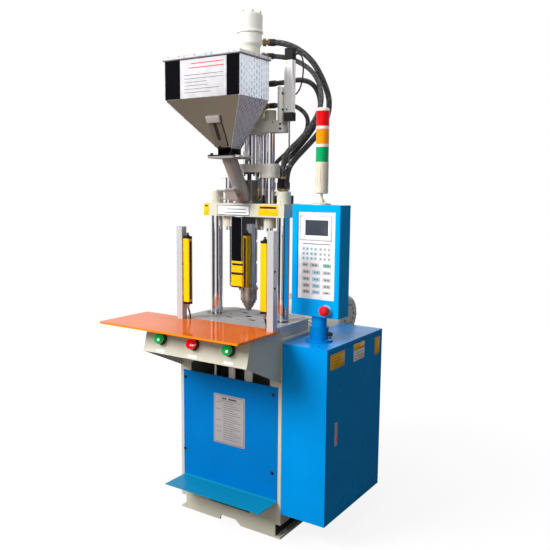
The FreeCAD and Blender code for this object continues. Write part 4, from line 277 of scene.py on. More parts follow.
def painted_glow_plastic(name, color, glow, off_middle, spark, spread):
    """Clear coloured cap of a push button with painted light: it glows in its own colour, and a paler painted
    highlight spot lies near its middle.
    """
    look = Look(name, color, 0.10)
    sideways = look.sub(look.math("ABSOLUTE", look.sub(look.axis(0), HIGHLIGHT_MIDDLE)), off_middle)
    upward = look.sub(look.axis(2), HIGHLIGHT_LEVEL)
    away = look.math("SQRT", look.add(look.math("POWER", sideways, 2.0), look.math("POWER", upward, 2.0)))
    # Painted highlight: a paler, brighter spot, over a painted glow on the whole cap.
    lamp = look.remap(away, 0.35 * spread, spread, 1.0, 0.0)
    base = look.mix(lamp, color, spark)
    look.set("Base Color", base)
    look.set("Emission Color", base)
    look.set("Emission Strength", look.remap(lamp, 0.0, 1.0, glow, 1.0))
    look.bump(look.noise(300.0, 2.0), 0.0002, 0.03)
    return look.material


def film(name, base, ink, density, pitch, rim=None):
    """Thin protective film with columns of short upright dashes, worn in patches, and bare under a rim."""
    look = Look(name, base, 0.28)
    across, up = look.axis(1), look.axis(2)
    if rim:
        across = look.add(look.axis(0), look.mul(across, 0.9))
        up = look.add(up, look.mul(look.axis(1), 0.6))
    column = look.math("DIVIDE", across, pitch)
    shift = look.node("TexWhiteNoise", noise_dimensions="1D")
    look.link(look.math("FLOOR", column), shift.inputs["W"])
    row = look.math("FRACT", look.add(look.math("DIVIDE", up, DASH_PITCH), shift.outputs["Value"]))
    off = look.math("ABSOLUTE", look.sub(look.math("FRACT", column), 0.5))
    dashes = look.mul(look.remap(row, 0.36, 0.44), look.remap(off, 0.24, 0.12))
    broken = look.remap(look.noise(300.0, 3.0, (1, 1, 0.7)), 0.34, 0.50)
    faded = look.remap(look.noise(15.0, 2.0), 0.35, 0.6, 0.35, 1.0)
    marks = look.mul(dashes, broken, faded, density)
    sheen = look.clouds(look.noise(9.0, 3.0, (1, 1, 0.5)), 0.35, 0.65, tint(base, 0.88), tint(base, 1.08))
    if rim:
        bare = look.below(2, rim, 0.0006)
        sheen = look.mix(bare, sheen, (0.17, 0.155, 0.145))
        marks = look.mul(marks, look.flip(bare))
    look.set("Base Color", look.mix(marks, sheen, ink))
    look.set("Coat Weight", 0.5)
    look.set("Coat Roughness", 0.12)
    look.bump(look.noise(45.0, 4.0), 0.0008, 0.35)
    return look.material


def braid(name, color, fleck, pitch):
    """Braided hose cover: two crossing sets of strands with lighter flecks."""
    look = Look(name, color, 0.5)
    x, y, z = look.split(look.coords())
    step = 2 * math.pi / pitch
    first = look.math("SINE", look.mul(look.add(z, look.mul(x, 0.8)), step))
    second = look.math("SINE", look.mul(look.sub(z, look.mul(y, 0.8)), step))
    weave = look.mul(first, second)
    strand = look.remap(weave, -0.6, 0.8)
    flecks = look.mul(strand, look.remap(look.noise(130.0, 4.0), 0.48, 0.66))
    look.set("Base Color", look.mix(flecks, look.mix(strand, tint(color, 0.55), tint(color, 1.35)), fleck))
    look.roughness(0.38, 0.6, look.noise(60.0, 3.0))
    look.bump(weave, 0.0006, 0.7)
    return look.material


# ---- what differs within one surface ----
INSIDE = ((-0.2555, 0.2555), (-0.1346, 0.1936), (0.0082, 0.8178))  # room within the base frame
TRAY_TOP = 0.165  # level under which the front panel is the tray
HIGHLIGHT_MIDDLE, HIGHLIGHT_LEVEL = 0.013, 0.825  # the painted highlight spots on the push buttons
CURTAIN_ENDS = (0.9501, 1.2129)  # levels of the light curtains' end caps
RAIL_ENDS = (1.7229, 1.9261)  # the same of the transducer
TOWER_X, TOWER_Y, TOWER_RING = 0.355, -0.014, 1.523  # axis of the signal tower and foot of its paler rings
LENS_JOINTS = (1.586, 1.654)  # levels where orange and red begin
LENS_RIBS, LENS_PITCH = 36.0, 0.006  # ribs round a lens and height of one row
NECK = (1.5512, 1.5748)  # levels of the hopper's black neck
SLEEVE_LEFT, SLEEVE = 0.150, (1.420, 1.460)  # left limit and levels of the right fitting's black sleeve
SLOPE_SPOT, SLOPE_NORMAL = (-0.171, 1.575), (-0.8916, -0.4528)  # Y and Z of the pyramid's front face
SIGHT_RAIL = ((-0.024, 0.024), 1.585)  # sides and foot of the rail round the sight slot
LID_RIM = 1.9172  # level under which the lid's rim is bare
DASH_PITCH = 0.025  # height of one dash and its gap on the film
SHELF = (0.8674, 0.8746)  # between the shelf's two faces
TABLE_FACE = 0.8744  # level of the ground top
TABLE_HOLES = ((-0.150, 0.150), (-0.125, 0.125))  # across and deep, where the table's holes lie


def painted_shade_inside(look, base):
    """Painted shade: the base's inner walls are made nearly black, for the shade within the frame."""
    room = look.mul(*(look.within(index, *limits) for index, limits in enumerate(INSIDE)))
    return look.mix(room, base, (0.012, 0.012, 0.013))


def tray_colour(look, base):
    """The tray at the panel's foot is a greener blue."""
    return look.mix(look.below(2, TRAY_TOP), base, (0.003, 0.23, 0.40))


def end_caps(low, high, color):
    """Dark caps under and over a bar."""
    def extra(look, base):
        ends = look.math("ADD", look.above(2, high), look.below(2, low), True)
        return look.mix(ends, base, color)
    return extra


def tower_colours(look, base):
    """Whiter rings and cap above the ivory foot and body."""
    return look.mix(look.above(2, TOWER_RING), base, (0.80, 0.76, 0.66))


def fitting_colours(look, base):
    """Black sleeve on the tall fitting of the right tie bar."""
    return look.mix(look.mul(look.above(0, SLEEVE_LEFT), look.within(2, *SLEEVE)), base, (0.02, 0.02, 0.022))


def scratched(look, base):
    """Fine scratches and specks on polished sheet."""
    scratch = look.remap(look.noise(14.0, 6.0, (9, 9, 1.2), 0.75), 0.66, 0.74, 0.0, 0.35)
    return look.mix(scratch, base, (0.85, 0.87, 0.92))


def hopper_colours(look, base):
    """Scratches, the black neck with its bolts under the pyramid, and the dark rail round the sight slot."""
    sheet = look.mix(look.within(2, *NECK), scratched(look, base), (0.02, 0.02, 0.022))
    forward = look.mul(look.sub(look.axis(1), SLOPE_SPOT[0]), SLOPE_NORMAL[0])
    down = look.mul(look.sub(look.axis(2), SLOPE_SPOT[1]), SLOPE_NORMAL[1])
    raised = look.remap(look.add(forward, down), 0.0004, 0.0008)
    rail = look.mul(raised, look.within(0, *SIGHT_RAIL[0]), look.above(2, SIGHT_RAIL[1]))
    look.set("Metallic", look.remap(rail, 0.0, 1.0, 1.0, 0.2))
    return look.mix(rail, sheet, (0.030, 0.020, 0.018))


def lens_material(name):
    """Ribbed lens sleeves, green, orange and red from below, with painted highlights on their ribs."""
    look = Look(name, (0.7, 0.02, 0.02), 0.16)
    x, y, z = look.split(look.coords(shift=(-TOWER_X, -TOWER_Y, 0.0)))
    ribs = look.math("SINE", look.mul(look.math("ARCTAN2", y, x), LENS_RIBS))
    rows = look.math("SINE", look.mul(z, 2 * math.pi / LENS_PITCH))
    bars = look.mul(look.add(ribs, 1.0), look.add(rows, 1.3))
    # Painted highlights: each colour is brighter on the crests of the ribs and rows.
    glow = look.remap(bars, 0.0, 4.6)
    green = look.mix(glow, (0.0, 0.26, 0.08), (0.005, 0.60, 0.22))
    orange = look.mix(glow, (0.92, 0.22, 0.0), (1.0, 0.50, 0.0))
    red = look.mix(glow, (0.66, 0.0, 0.002), (1.0, 0.004, 0.008))
    lower = look.mix(look.above(2, LENS_JOINTS[0]), green, orange)
    look.set("Base Color", look.mix(look.above(2, LENS_JOINTS[1]), lower, red))
    look.set("Specular IOR Level", 0.2)
    look.bump(bars, 0.0004, 0.4)
    return look.material


def acrylic_material(name):
    """Polished orange acrylic: rim painted a brighter orange as painted glow, glossy face with fine
    scratches.
    """
    look = Look(name, (0.87, 0.14, 0.005), 0.03)
    cloud = look.clouds(look.noise(6.0, 3.0), 0.3, 0.7, (0.57, 0.098, 0.004), (0.65, 0.13, 0.007))
    # Painted glow: the faces between the shelf's top and underside are made brighter.
    look.set("Base Color", look.mix(look.within(2, *SHELF), cloud, (1.0, 0.24, 0.01)))
    look.roughness(0.02, 0.07, look.noise(16.0, 6.0, (8, 1.5, 1)))
    look.set("IOR", 1.45)
    look.set("Specular IOR Level", 0.16)
    return look.material


def table_material(name):
    """Ground steel table: cross-hatched top, sides painted paler as painted light against their shade, and
    the walls of its holes painted black as painted shade.
    """
    look = Look(name, (0.36, 0.35, 0.35), 0.42, 0.2)
    hatch = look.noise(160.0, 5.0, (12, 1, 1), 0.7)
    top = look.clouds(hatch, 0.3, 0.7, (0.36, 0.345, 0.345), (0.47, 0.455, 0.455))
    top = look.mix(look.remap(look.noise(9.0, 4.0), 0.45, 0.75, 0.0, 0.35), top, (0.24, 0.22, 0.21))
    # Painted light: the sides are made paler than the top to make up for the shade they stand in.
    side = look.clouds(look.noise(40.0, 4.0, (1, 1, 6)), 0.3, 0.7, (0.62, 0.58, 0.50), (0.72, 0.68, 0.60))
    # Painted shade: the inner walls of the holes are made black.
    inner = look.mul(look.within(0, *TABLE_HOLES[0]), look.within(1, *TABLE_HOLES[1]))
    side = look.mix(inner, side, (0.008, 0.008, 0.008))
    face = look.mix(look.above(2, TABLE_FACE, 0.0003), side, top)
    look.roughness(0.3, 0.48, hatch)
    return look.finish(face, None, 0.0012, 0.35, (0.62, 0.62, 0.62), hatch, 0.0002, 0.2)


def heater_material(name):
    """Heat-tinted stainless bands: straw, blue and grey clouds."""
    look = Look(name, (0.42, 0.38, 0.33), 0.32, 0.7)
    cloud = look.noise(28.0, 4.0)
    straw = look.clouds(cloud, 0.35, 0.55, (0.27, 0.24, 0.21), (0.46, 0.42, 0.38))
    look.set("Base Color", look.clouds(cloud, 0.55, 0.75, straw, (0.50, 0.52, 0.57)))
    look.roughness(0.22, 0.42, look.noise(200.0, 4.0, (1, 1, 8)))
    look.bump(look.noise(260.0, 3.0, (1, 1, 6)), 0.0002, 0.2, look.edges(0.0006)[0])
    return look.material


BEIGE = (0.62, 0.60, 0.49)
PRINT, KEY_FILM = (0.4, 500.0, 0.03), (0.4, 800.0, 0.05)  # roughness, grain and bump
FINISHES = {
    paint: {  # colour, roughness, wear at the edges, what differs, gloss and gloss of the upward faces
        "beige_paint": (BEIGE, 0.42),
        # paler, less yellow copies of the beige for the crossheads, pump and motor: partly their own paler
        # paint, partly painted light that makes them brighter
        "beige_paint_light": ((0.82, 0.81, 0.74), 0.40),
        "beige_paint_motor": ((0.66, 0.655, 0.60), 0.40),
        # the base's paint is made nearly black inside the frame, painted shade
        "beige_paint_base": (BEIGE, 0.42, 0.25, painted_shade_inside),
        # Painted light: a much paler beige for the inner posts, which stand in shade under the console.
        "beige_paint_inner": ((0.86, 0.84, 0.76), 0.42),
        # Painted shade: the front panel's blue is a darker copy of the cabinet's, for the shade under the
        # table and console.
        "blue_paint": ((0.0, 0.175, 0.52), 0.40, 0.12, tray_colour, 0.05, 0.3),
        "blue_paint_cabinet": ((0.0, 0.28, 0.74), 0.30, 0.12, None, 0.05, 0.8),
        "blue_box": ((0.0, 0.37, 0.90), 0.40, 0.12, None, 0.05, 0.5),
        "yellow_lacquer": ((0.95, 0.52, 0.0), 0.3, 0.1, end_caps(*CURTAIN_ENDS, (0.018, 0.017, 0.016)), 0.25),
    },
    metal: {  # colour, roughness, stretch and scale of streaks, spread of gloss, bump, what differs, shade
        "bronze": ((0.42, 0.38, 0.32), 0.36),
        "chromed_steel": ((0.84, 0.83, 0.86), 0.07, (1, 1, 0.02), 300.0, 0.03, 0.04, None, 0.04),
        "dark_steel": ((0.13, 0.13, 0.14), 0.4, (1, 1, 4), 180.0),
        "polished_stainless": ((0.56, 0.57, 0.59), 0.05, (9, 9, 0.4), 70.0, 0.02, 0.03, scratched, 0.05),
        "hopper_stainless": ((0.60, 0.585, 0.57), 0.07, (1, 1, 0.5), 9.0, 0.025, 0.05, hopper_colours, 0.07),
        "band_steel": ((0.30, 0.275, 0.265), 0.18, (1, 1, 6), 160.0, 0.08, 0.15, None, 0.1),
        "brass": ((0.50, 0.37, 0.18), 0.34, EVEN, 220.0, 0.08, 0.15, fitting_colours),
        "nickel_brass": ((0.62, 0.56, 0.46), 0.35),
        # bright beads that are painted highlights on seams and folds
        "ground_seam": ((0.86, 0.85, 0.85), 0.3, (1, 1, 8), 200.0),
        "black_oxide": ((0.055, 0.055, 0.06), 0.38, EVEN, 300.0),
        "crimp_sleeve": ((0.10, 0.095, 0.095), 0.42, EVEN, 240.0),
    },
    anodised: {  # colour, roughness, metallic, what differs
        "aluminium": ((0.62, 0.625, 0.635), 0.42),
        "steel": ((0.24, 0.215, 0.20), 0.36, 0.6),
        "pipe_steel": ((0.36, 0.335, 0.32), 0.42, 0.35),
        "sight_steel": ((0.15, 0.122, 0.10), 0.36),
        "tab_steel": ((0.44, 0.40, 0.37), 0.34),
        "stainless": ((0.52, 0.50, 0.49), 0.38, 0.4),
        "gate_plate": ((0.80, 0.78, 0.78), 0.42, 0.2),
        "cast_steel": ((0.30, 0.29, 0.28), 0.45, 0.4),
        "transducer_aluminium": ((0.88, 0.87, 0.87), 0.55, 0.05, end_caps(*RAIL_ENDS, (0.014, 0.014, 0.015))),
        "name_plate": ((0.50, 0.47, 0.48), 0.45),
    },
    plastic: {  # colour, roughness, grain, bump, what differs
        "black_plastic": ((0.018, 0.018, 0.018), 0.4),
        "red_mushroom": ((0.80, 0.004, 0.012), 0.3, 900.0, 0.1),
        "sight_glass": ((0.014, 0.009, 0.007), 0.6),
        "ivory_plastic": ((0.70, 0.63, 0.50), 0.4, 1400.0, 0.2, tower_colours),
        "keypad_film": ((0.88, 0.88, 0.91), 0.42, 900.0, 0.08),
        "electric_plastic": ((0.35, 0.36, 0.38), 0.5),
        "black_rubber": ((0.02, 0.02, 0.021), 0.55, 600.0),
        "white_plate": ((0.86, 0.85, 0.88), 0.36, 500.0, 0.03),
        "hopper_plate": ((0.50, 0.49, 0.51), *PRINT),
        "yellow_sticker": ((0.93, 0.50, 0.0), 0.3, 400.0, 0.03),
        "dark_glass": ((0.050, 0.060, 0.080), 0.14, 200.0, 0.01),
        "red_ink": ((0.72, 0.03, 0.06), *PRINT),
        "grey_ink": ((0.07, 0.068, 0.08), *PRINT),
        "dark_optics": ((0.020, 0.012, 0.008), 0.08, 200.0, 0.02),
        "teal_mark": ((0.05, 0.38, 0.42), 0.35, 500.0, 0.03),
        "pale_ring": ((0.46, 0.56, 0.66), 0.3, 500.0, 0.03),
        "key_blue": ((0.44, 0.62, 0.70), *KEY_FILM),
        "key_grey": ((0.58, 0.57, 0.59), *KEY_FILM),
        "key_green": ((0.30, 0.52, 0.40), *KEY_FILM),
        "mark_blue": ((0.10, 0.28, 0.42), *KEY_FILM),
        "mark_grey": ((0.13, 0.12, 0.13), *KEY_FILM),
        "mark_green": ((0.03, 0.22, 0.12), *KEY_FILM),
        "frame_grey": ((0.38, 0.38, 0.41), *KEY_FILM),
    },
    painted_glow_plastic: {  # colour, painted glow, place of the painted highlight off the middle, its colour and spread
        "green_plastic": ((0.004, 0.40, 0.07), 0.28, 0.169, (0.70, 1.0, 0.82), 0.0068),
        "red_plastic": ((0.80, 0.002, 0.008), 0.4, 0.004, (1.0, 0.60, 0.55), 0.0042),
    },
    film: {  # colour, colour and density of the dashes, distance of their columns, level of a bare rim
        "film_box": ((0.80, 0.84, 0.89), (0.08, 0.25, 0.58), 1.0, 0.0165),
        "film_lid": ((0.54, 0.54, 0.56), (0.05, 0.17, 0.40), 0.7, 0.027, LID_RIM),
        "film_slope": ((0.36, 0.36, 0.41), (0.02, 0.04, 0.14), 1.0, 0.0150),
    },
    braid: {  # colour, colour of the flecks, pitch
        "hose_cover": ((0.055, 0.053, 0.056), (0.36, 0.35, 0.36), 0.0042),
        "braided_tube": ((0.30, 0.29, 0.27), (0.62, 0.60, 0.56), 0.0022),
    },
    table_material: {"table_steel": ()},
    acrylic_material: {"orange_acrylic": ()},
    heater_material: {"heater_steel": ()},
    lens_material: {"lens_plastic": ()},
}
NODE_LOOKS = {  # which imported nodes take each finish
    "beige_paint_base": "base_frame",
    "beige_paint": "console_housing platen rod_nuts clamp_cylinder injection_cylinder oil_tank",
    # the upper parts take paler beige copies that also carry painted light
    "beige_paint_light": "mid_crosshead pump_unit",
    "beige_paint_motor": "hydraulic_motor top_crosshead",
    # the front panel takes the darker, shaded copy of the blue paint
    "blue_paint": "front_panel",
    "blue_paint_cabinet": "cabinet_shell cabinet_door post_base",
    "blue_box": "pendant_box",
    "table_steel": "work_table",
    "bronze": "tie_bar_bushings",
    "brass": "hose_fittings",
    "orange_acrylic": "shelf_plate",
    "black_plastic": "button_bezels clamp_knob",
    # green and red caps glow with painted light and carry a painted highlight spot
    "green_plastic": "start_button_left start_button_right",
    "red_plastic": "stop_button latch_button",
    "red_mushroom": "estop_button",
    "aluminium": "curtain_posts latch_handle",
    "yellow_lacquer": "curtain_housings",
    "chromed_steel": "clamp_rod tie_bars guide_rods piston_rod",
    "dark_steel": "lower_yoke platen_manifold screw",
    "steel": "barrel nozzle transducer_rod",
    "pipe_steel": "feed_pipe",
    "gate_plate": "hopper_gate",
    "stainless": "drain_shutter",
    "film_lid": "hopper_lid",
    "polished_stainless": "barrel_cover",
    "hopper_stainless": "hopper_body",
    "heater_steel": "heater_bands",
    "cast_steel": "feed_block",
    "ivory_plastic": "tower_body",
    "lens_plastic": "tower_lenses",
    "transducer_aluminium": "transducer_body",
    "keypad_film": "keypad_panel",
    "electric_plastic": "electrical_plate",
}


def finishes():
    """Every finish by name, made by its kind of surface from its row."""
    return {name: kind(name, *row) for kind, rows in FINISHES.items() for name, row in rows.items()}


def dress_nodes():
    """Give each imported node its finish."""
    for look, names in NODE_LOOKS.items():
        for name in names.split():
            materials = nodes[name].data.materials
            if len(materials) == 0:
                materials.append(looks[look])
            for index in range(len(materials)):
                materials[index] = looks[look]


# ---- mesh helpers ----
def add_object(name, data):
    """New object in the scene."""
    made = bpy.data.objects.new(name, data)
    bpy.context.scene.collection.objects.link(made)
    return made


def add_mesh(target, part, matrix=None):
    """Copy a finished part into a bigger mesh."""
    mesh = bpy.data.meshes.new("part")
    part.to_mesh(mesh)
    part.free()
    if matrix is not None:
        mesh.transform(matrix)
    target.from_mesh(mesh)
    bpy.data.meshes.remove(mesh)


def soften(part, edges, offset, segments):
    """Round some of a part's edges."""
    bmesh.ops.bevel(part, geom=edges, offset=offset, segments=segments, affect="EDGES", profile=0.5)


def block(target, x0, x1, y0, y1, z0, z1, round_by=0.3, segments=2, matrix=None):
    """Block with rounded edges."""
    part = bmesh.new()
    bmesh.ops.create_cube(part, size=1.0)
    size = Vector((x1 - x0, y1 - y0, z1 - z0))
    middle = Vector((x0 + x1, y0 + y1, z0 + z1)) / 2
    for vert in part.verts:
        vert.co = Vector(a * b for a, b in zip(vert.co, size)) + middle
    soften(part, part.edges[:], min(round_by, 0.49 * min(size)), segments)
    add_mesh(target, part, matrix)


def slab(target, outline, depth, round_by, segments, matrix):
    """Flat plate from an outline in its own XY plane, from Z 0 to its depth, with a softened front rim."""
    part = bmesh.new()
    low = [part.verts.new((x, y, 0.0)) for x, y in outline]
    high = [part.verts.new((x, y, depth)) for x, y in outline]
    part.faces.new(low[::-1])
    top = part.faces.new(high)
    for a, b, c, d in zip(low, low[1:] + low[:1], high[1:] + high[:1], high):
        part.faces.new((a, b, c, d))
    soften(part, list(top.edges), min(round_by, depth * 0.45), segments)
    add_mesh(target, part, matrix)


def rounded(width, height, radius, steps):
    """Outline of a rectangle with round corners, about its centre."""
    points = []
    for cx, cy, start in ((1, 1, 0), (-1, 1, 90), (-1, -1, 180), (1, -1, 270)):
        for k in range(steps + 1):
            angle = math.radians(start + 90 * k / steps)
            x = cx * (width / 2 - radius) + radius * math.cos(angle)
            y = cy * (height / 2 - radius) + radius * math.sin(angle)
            points.append((x, y))
    return points


def bridge(part, rings):
    """Faces between neighbouring rings of corners, where a ring may also be one point."""
    for a, b in zip(rings, rings[1:]):
        count = max(len(a), len(b))
        for k in range(count):
            n = (k + 1) % count
            corners = (a[k % len(a)], b[k % len(b)], b[n % len(b)], a[n % len(a)])
            part.faces.new(list(dict.fromkeys(corners)))


def lathe(target, profile, matrix, count=24):
    """Turned form from (radius, height) points; a third entry of 6 makes that ring a hexagon."""
    part = bmesh.new()
    rings = []
    for radius, height, *sides in profile:
        if radius <= 0:
            rings.append([part.verts.new((0, 0, height))])
            continue
        ring = []
        for k in range(count):
            angle = 2 * math.pi * k / count
            reach = radius
            if sides:
                step = 2 * math.pi / sides[0]
                reach = radius / math.cos((angle + step / 2) % step - step / 2)
            ring.append(part.verts.new((reach * math.cos(angle), reach * math.sin(angle), height)))
        rings.append(ring)
    bridge(part, rings)
    add_mesh(target, part, matrix)


def facing(place, direction, twist=0.0):
    """Matrix that puts a form's foot at a place with its +Z along a direction."""
    turn = Vector(direction).to_track_quat("Z", "Y").to_matrix().to_4x4()
    return Matrix.Translation(Vector(place)) @ turn @ Matrix.Rotation(twist, 4, "Z")


def plane(place, sides):
    """Matrix of a flat part on a face, given its centre and its across and up directions."""
    across, up = (Vector(side).normalized() for side in sides)
    turn = Matrix((across, up, across.cross(up))).transposed().to_4x4()
    return Matrix.Translation(Vector(place)) @ turn


def bead(target, start, end, radius):
    """Thin round bead between two points."""
    span = Vector(end) - Vector(start)
    length = span.length
    lathe(target, [(0, 0), (radius, 0.3), (radius, length - 0.3), (0, length)], facing(start, span), 10)


def screw(target, profile, place, direction):
    """Turned screw head, twisted by chance."""
    lathe(target, profile, facing(place, direction, random.random()))


def socket_screw(target, place, direction, radius, height):
    """Cap screw with a hexagon socket."""
    s, d = radius * 0.5, height * 0.6
    screw(target, [
        (0, height - d), (s, height - d, 6), (s, height - 0.2, 6), (s * 1.2, height), (radius * 0.84, height),
        (radius, height - radius * 0.16), (radius, 0.0), (0, 0.0),
    ], place, direction)


def button_screw(target, place, direction, radius=5.0, height=2.8):
    """Domed screw with a hexagon socket."""
    s = radius * 0.42
    profile = [(0, height * 0.45), (s, height * 0.45, 6), (s, height, 6)]
    for k in range(5):
        angle = math.radians(18 + 18 * k)
        profile.append((radius * (0.42 + 0.58 * math.sin(angle)), height * math.cos(angle) * 0.96))
    screw(target, profile + [(0, 0.0)], place, direction)


def hex_bolt(target, place, direction, flat, height, washer):
    """Hexagon head on a washer."""
    screw(target, [
        (0, height), (flat * 0.86, height), (flat, height * 0.8, 6), (flat, 1.2, 6),
        (washer, 1.2), (washer, 0.0), (0, 0.0),
    ], place, direction)


def slotted(target, middle, half, slot, depth, matrix, count=40):
    """Rectangular plate with a round-ended slot and a softened rim, from half widths and half heights."""
    def rim(x, y, inset):
        reach = min((half[0] - inset) / max(abs(x), 1e-6), (half[1] - inset) / max(abs(y), 1e-6))
        return x * reach, y * reach

    def hole(x, y, _):
        return x * slot[0], y * slot[0] + math.copysign(slot[1] - slot[0], y)

    part = bmesh.new()
    rings = []
    soft = 0.6
    for outline, inset, level in (
        (rim, 0, 0), (rim, 0, depth - soft), (rim, soft, depth), (hole, 0, depth), (hole, 0, 0),
    ):
        ring = []
        for k in range(count):
            angle = 2 * math.pi * (k + 0.5) / count
            x, y = outline(math.cos(angle), math.sin(angle), inset)
            ring.append(part.verts.new((middle[0] + x, middle[1] + y, level)))
        rings.append(ring)
    bridge(part, rings + rings[:1])
    bmesh.ops.recalc_face_normals(part, faces=part.faces)
    add_mesh(target, part, matrix)


@contextlib.contextmanager
def making(name, look, body, slot):
    """A mesh that is filled in millimetres; it then becomes a piece on its body, with the finish it takes."""
    mesh = bmesh.new()
    yield mesh
    bmesh.ops.remove_doubles(mesh, verts=mesh.verts[:], dist=0.0005)
    bmesh.ops.recalc_face_normals(mesh, faces=mesh.faces[:])
    data = bpy.data.meshes.new(name)
    mesh.to_mesh(data)
    mesh.free()
    data.transform(Matrix.Scale(MM, 4))
    data.polygons.foreach_set("use_smooth", [True] * len(data.polygons))
    data.set_sharp_from_angle(angle=math.radians(SMOOTH_ANGLE))
    data.materials.append(looks[look])
    made = add_object(name, data)
    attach(made, body)


class Face:
    """A spot on a flat face of the machine, where plates, frames and ruled lines are laid."""

    def __init__(self, body, slot, place, sides):
        self.home = (body, slot)
        self.matrix = plane(place, sides)

    def plate(self, name, look, width, height, thick=0.4, corner=2.0):
        """Thin plate or sticker with round corners, centred on the spot."""
        with making(name, look, *self.home) as mesh:
            slab(mesh, rounded(width, height, corner, 4), thick, 0.25, 2, self.matrix)

    def rules(self, name, look, rows, level=0.4, tall=1.4):
        """Raised ruled lines: each row is left end, right end and height over the centre."""
        with making(name, look, *self.home) as mesh:
            for left, right, up in rows:
                low, high = up - tall / 2, up + tall / 2
                block(mesh, left, right, low, high, level - 0.1, level + 0.15, 0.05, 1, self.matrix)

    def border(self, name, look, width, height, line=1.2, level=0.4):
        """Printed frame near a plate's rim."""
        x, y = width / 2, height / 2
        bars = [(-x, x, y - line, y), (-x, x, -y, line - y), (-x, line - x, -y, y), (x - line, x, -y, y)]
        with making(name, look, *self.home) as mesh:
            for bar in bars:
                block(mesh, *bar, level - 0.1, level + 0.12, 0.05, 1, self.matrix)


# ---- hoses and cables ----
CORDS = {  # diameter, stiffness, length in metres, finish and route
    "motor_hose": (24.0, "stiff", 0.748, "hose_cover", [
        (83.6, 58.5, 2013), (128.6, 90.1, 2013), (208, 142, 1954), (252, 180, 1857), (274, 195, 1768),
        (247, 186, 1675), (186, 162, 1602), (146, 124, 1546), (128, 90, 1494), (128, 90, 1444),
    ]),
    "upper_hose": (20.0, "stiff", 0.674, "hose_cover", [
        (69.3, 69.3, 1962), (108.2, 108.2, 1962), (166, 140, 1936), (226, 136, 1892), (268, 116, 1832),
        (290, 92, 1768), (284, 64, 1708), (258, 36, 1650), (228, 8, 1604), (192, -10, 1568),
        (172.5, -8, 1536), (172.5, -8, 1490),
    ]),
    "return_hose": (20.0, "stiff", 0.643, "hose_cover", [
        (105.5, 30, 1845), (155.5, 30, 1845), (202, 66, 1860), (238, 118, 1846), (250, 158, 1780),
        (226, 172, 1698), (174, 168, 1630), (122, 152, 1572), (99, 120, 1530), (94, 90, 1492), (94, 90, 1444),
    ]),
    "lower_hose": (18.0, "stiff", 0.489, "hose_cover", [
        (105.5, 30, 1757), (149.5, 30, 1757), (192, 60, 1754), (226, 96, 1714), (208, 116, 1654),
        (156, 118, 1604), (104, 108, 1562), (68, 92, 1526), (60, 90, 1488), (60, 90, 1444),
    ]),
    "coolant_hose": (8.0, "medium", 0.191, "braided_tube", [
        (48, 0, 1425), (48, 0, 1445), (46, 20, 1468), (40, 56, 1477), (31, 94, 1468), (27, 116, 1444),
        (27, 116, 1408),
    ]),
    "transducer_cable": (6.0, "limp", 0.223, "black_rubber", [
        (206, 13.5, 1949), (228, 13.5, 1949), (242, 17.5, 1932), (243, 22.5, 1897), (236, 29.5, 1858),
        (224, 34.5, 1822), (208, 34.5, 1799), (190, 35, 1793), (168, 35, 1793),
    ]),
    **{"curtain_cable_" + side: (7.0, "limp", 0.066, "black_rubber", [
        (x, -199, 940), (x, -199, 926), (x + 2, -195, 910), (x + 4, -191, 893), (x + 4, -191, 875),
    ]) for side, x in (("left", -169), ("right", 216))},
}


def make_cord(name, diameter, stiffness, length, look, route):
    """One hose or cable as a smooth round curve through its route."""
    data = bpy.data.curves.new(name, "CURVE")
    data.dimensions = "3D"
    data.resolution_u = 10
    spline = data.splines.new("NURBS")
    spline.points.add(len(route) - 1)
    for point, place in zip(spline.points, route):
        point.co = (*(Vector(place) * MM), 1.0)
    spline.order_u = 3
    spline.use_endpoint_u = True
    data.bevel_depth = diameter / 2 * MM
    data.bevel_resolution = 6
    data.use_fill_caps = True
    data.materials.append(looks[look])
    cord = add_object(name + "_line", data)
    on_base = name.startswith("curtain")
    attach(cord, "base" if on_base else "clamp_carriage")
    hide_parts("curtain_cables" if on_base else name)


# ---- details ----
CARRIAGE = "clamp_carriage"
HOPPER_LEFT, HOPPER_RIGHT, HOPPER_FRONT, HOPPER_FOLD = -223.5, 143.5, -267, 1764
PYRAMID_HALF, PYRAMID_FRONT, PYRAMID_FOOT = 33, -171, 1575
PYRAMID_HEIGHT = HOPPER_FOLD - PYRAMID_FOOT
KEYPAD_LEFT, KEYPAD_RIGHT, KEYPAD_LOW, KEYPAD_HIGH = 275.0, 442.0, 991.0, 1334.0
KEYPAD_FACE, BRACKET_FACE, PLATEN_FACE, PANEL_FACE, DOOR_FACE = -54, -54, -50, -143, 466
KEYPAD_WIDE, KEYPAD_TALL = KEYPAD_RIGHT - KEYPAD_LEFT, KEYPAD_HIGH - KEYPAD_LOW
DIGITS, MENU = (0.424, 0.481, 0.534), (0.69, 0.77, 0.846, 0.918)  # rows, as shares of the keypad's height
KEYS = [  # colour, shares of the width and height, width, height, corner and bars of the blank membrane keys
    ("blue", (0.157, 0.26, 0.376, 0.478), DIGITS, 12.5, 11.5, 1.4, 1),
    ("grey", (0.615, 0.726, 0.837), DIGITS, 11.0, 11.5, 1.4, 1),
    ("grey", (0.205,), (0.608,), 0.17 * KEYPAD_WIDE, 15.0, 1.4, 2),
    ("grey", (0.455,), (0.608,), 0.23 * KEYPAD_WIDE, 15.0, 1.4, 2),
    ("green", (0.79,), (0.608,), 0.22 * KEYPAD_WIDE, 15.0, 1.4, 2),
    ("grey", (0.235,), MENU, 0.21 * KEYPAD_WIDE, 15.0, 1.4, 2),
    ("blue", (0.505,), MENU, 0.21 * KEYPAD_WIDE, 15.0, 1.4, 2),
    ("grey", (0.79,), MENU[:3], 0.22 * KEYPAD_WIDE, 15.0, 1.4, 2),
    ("grey", (0.79,), MENU[3:], 0.22 * KEYPAD_WIDE, 13.0, 6.2, 1),
]
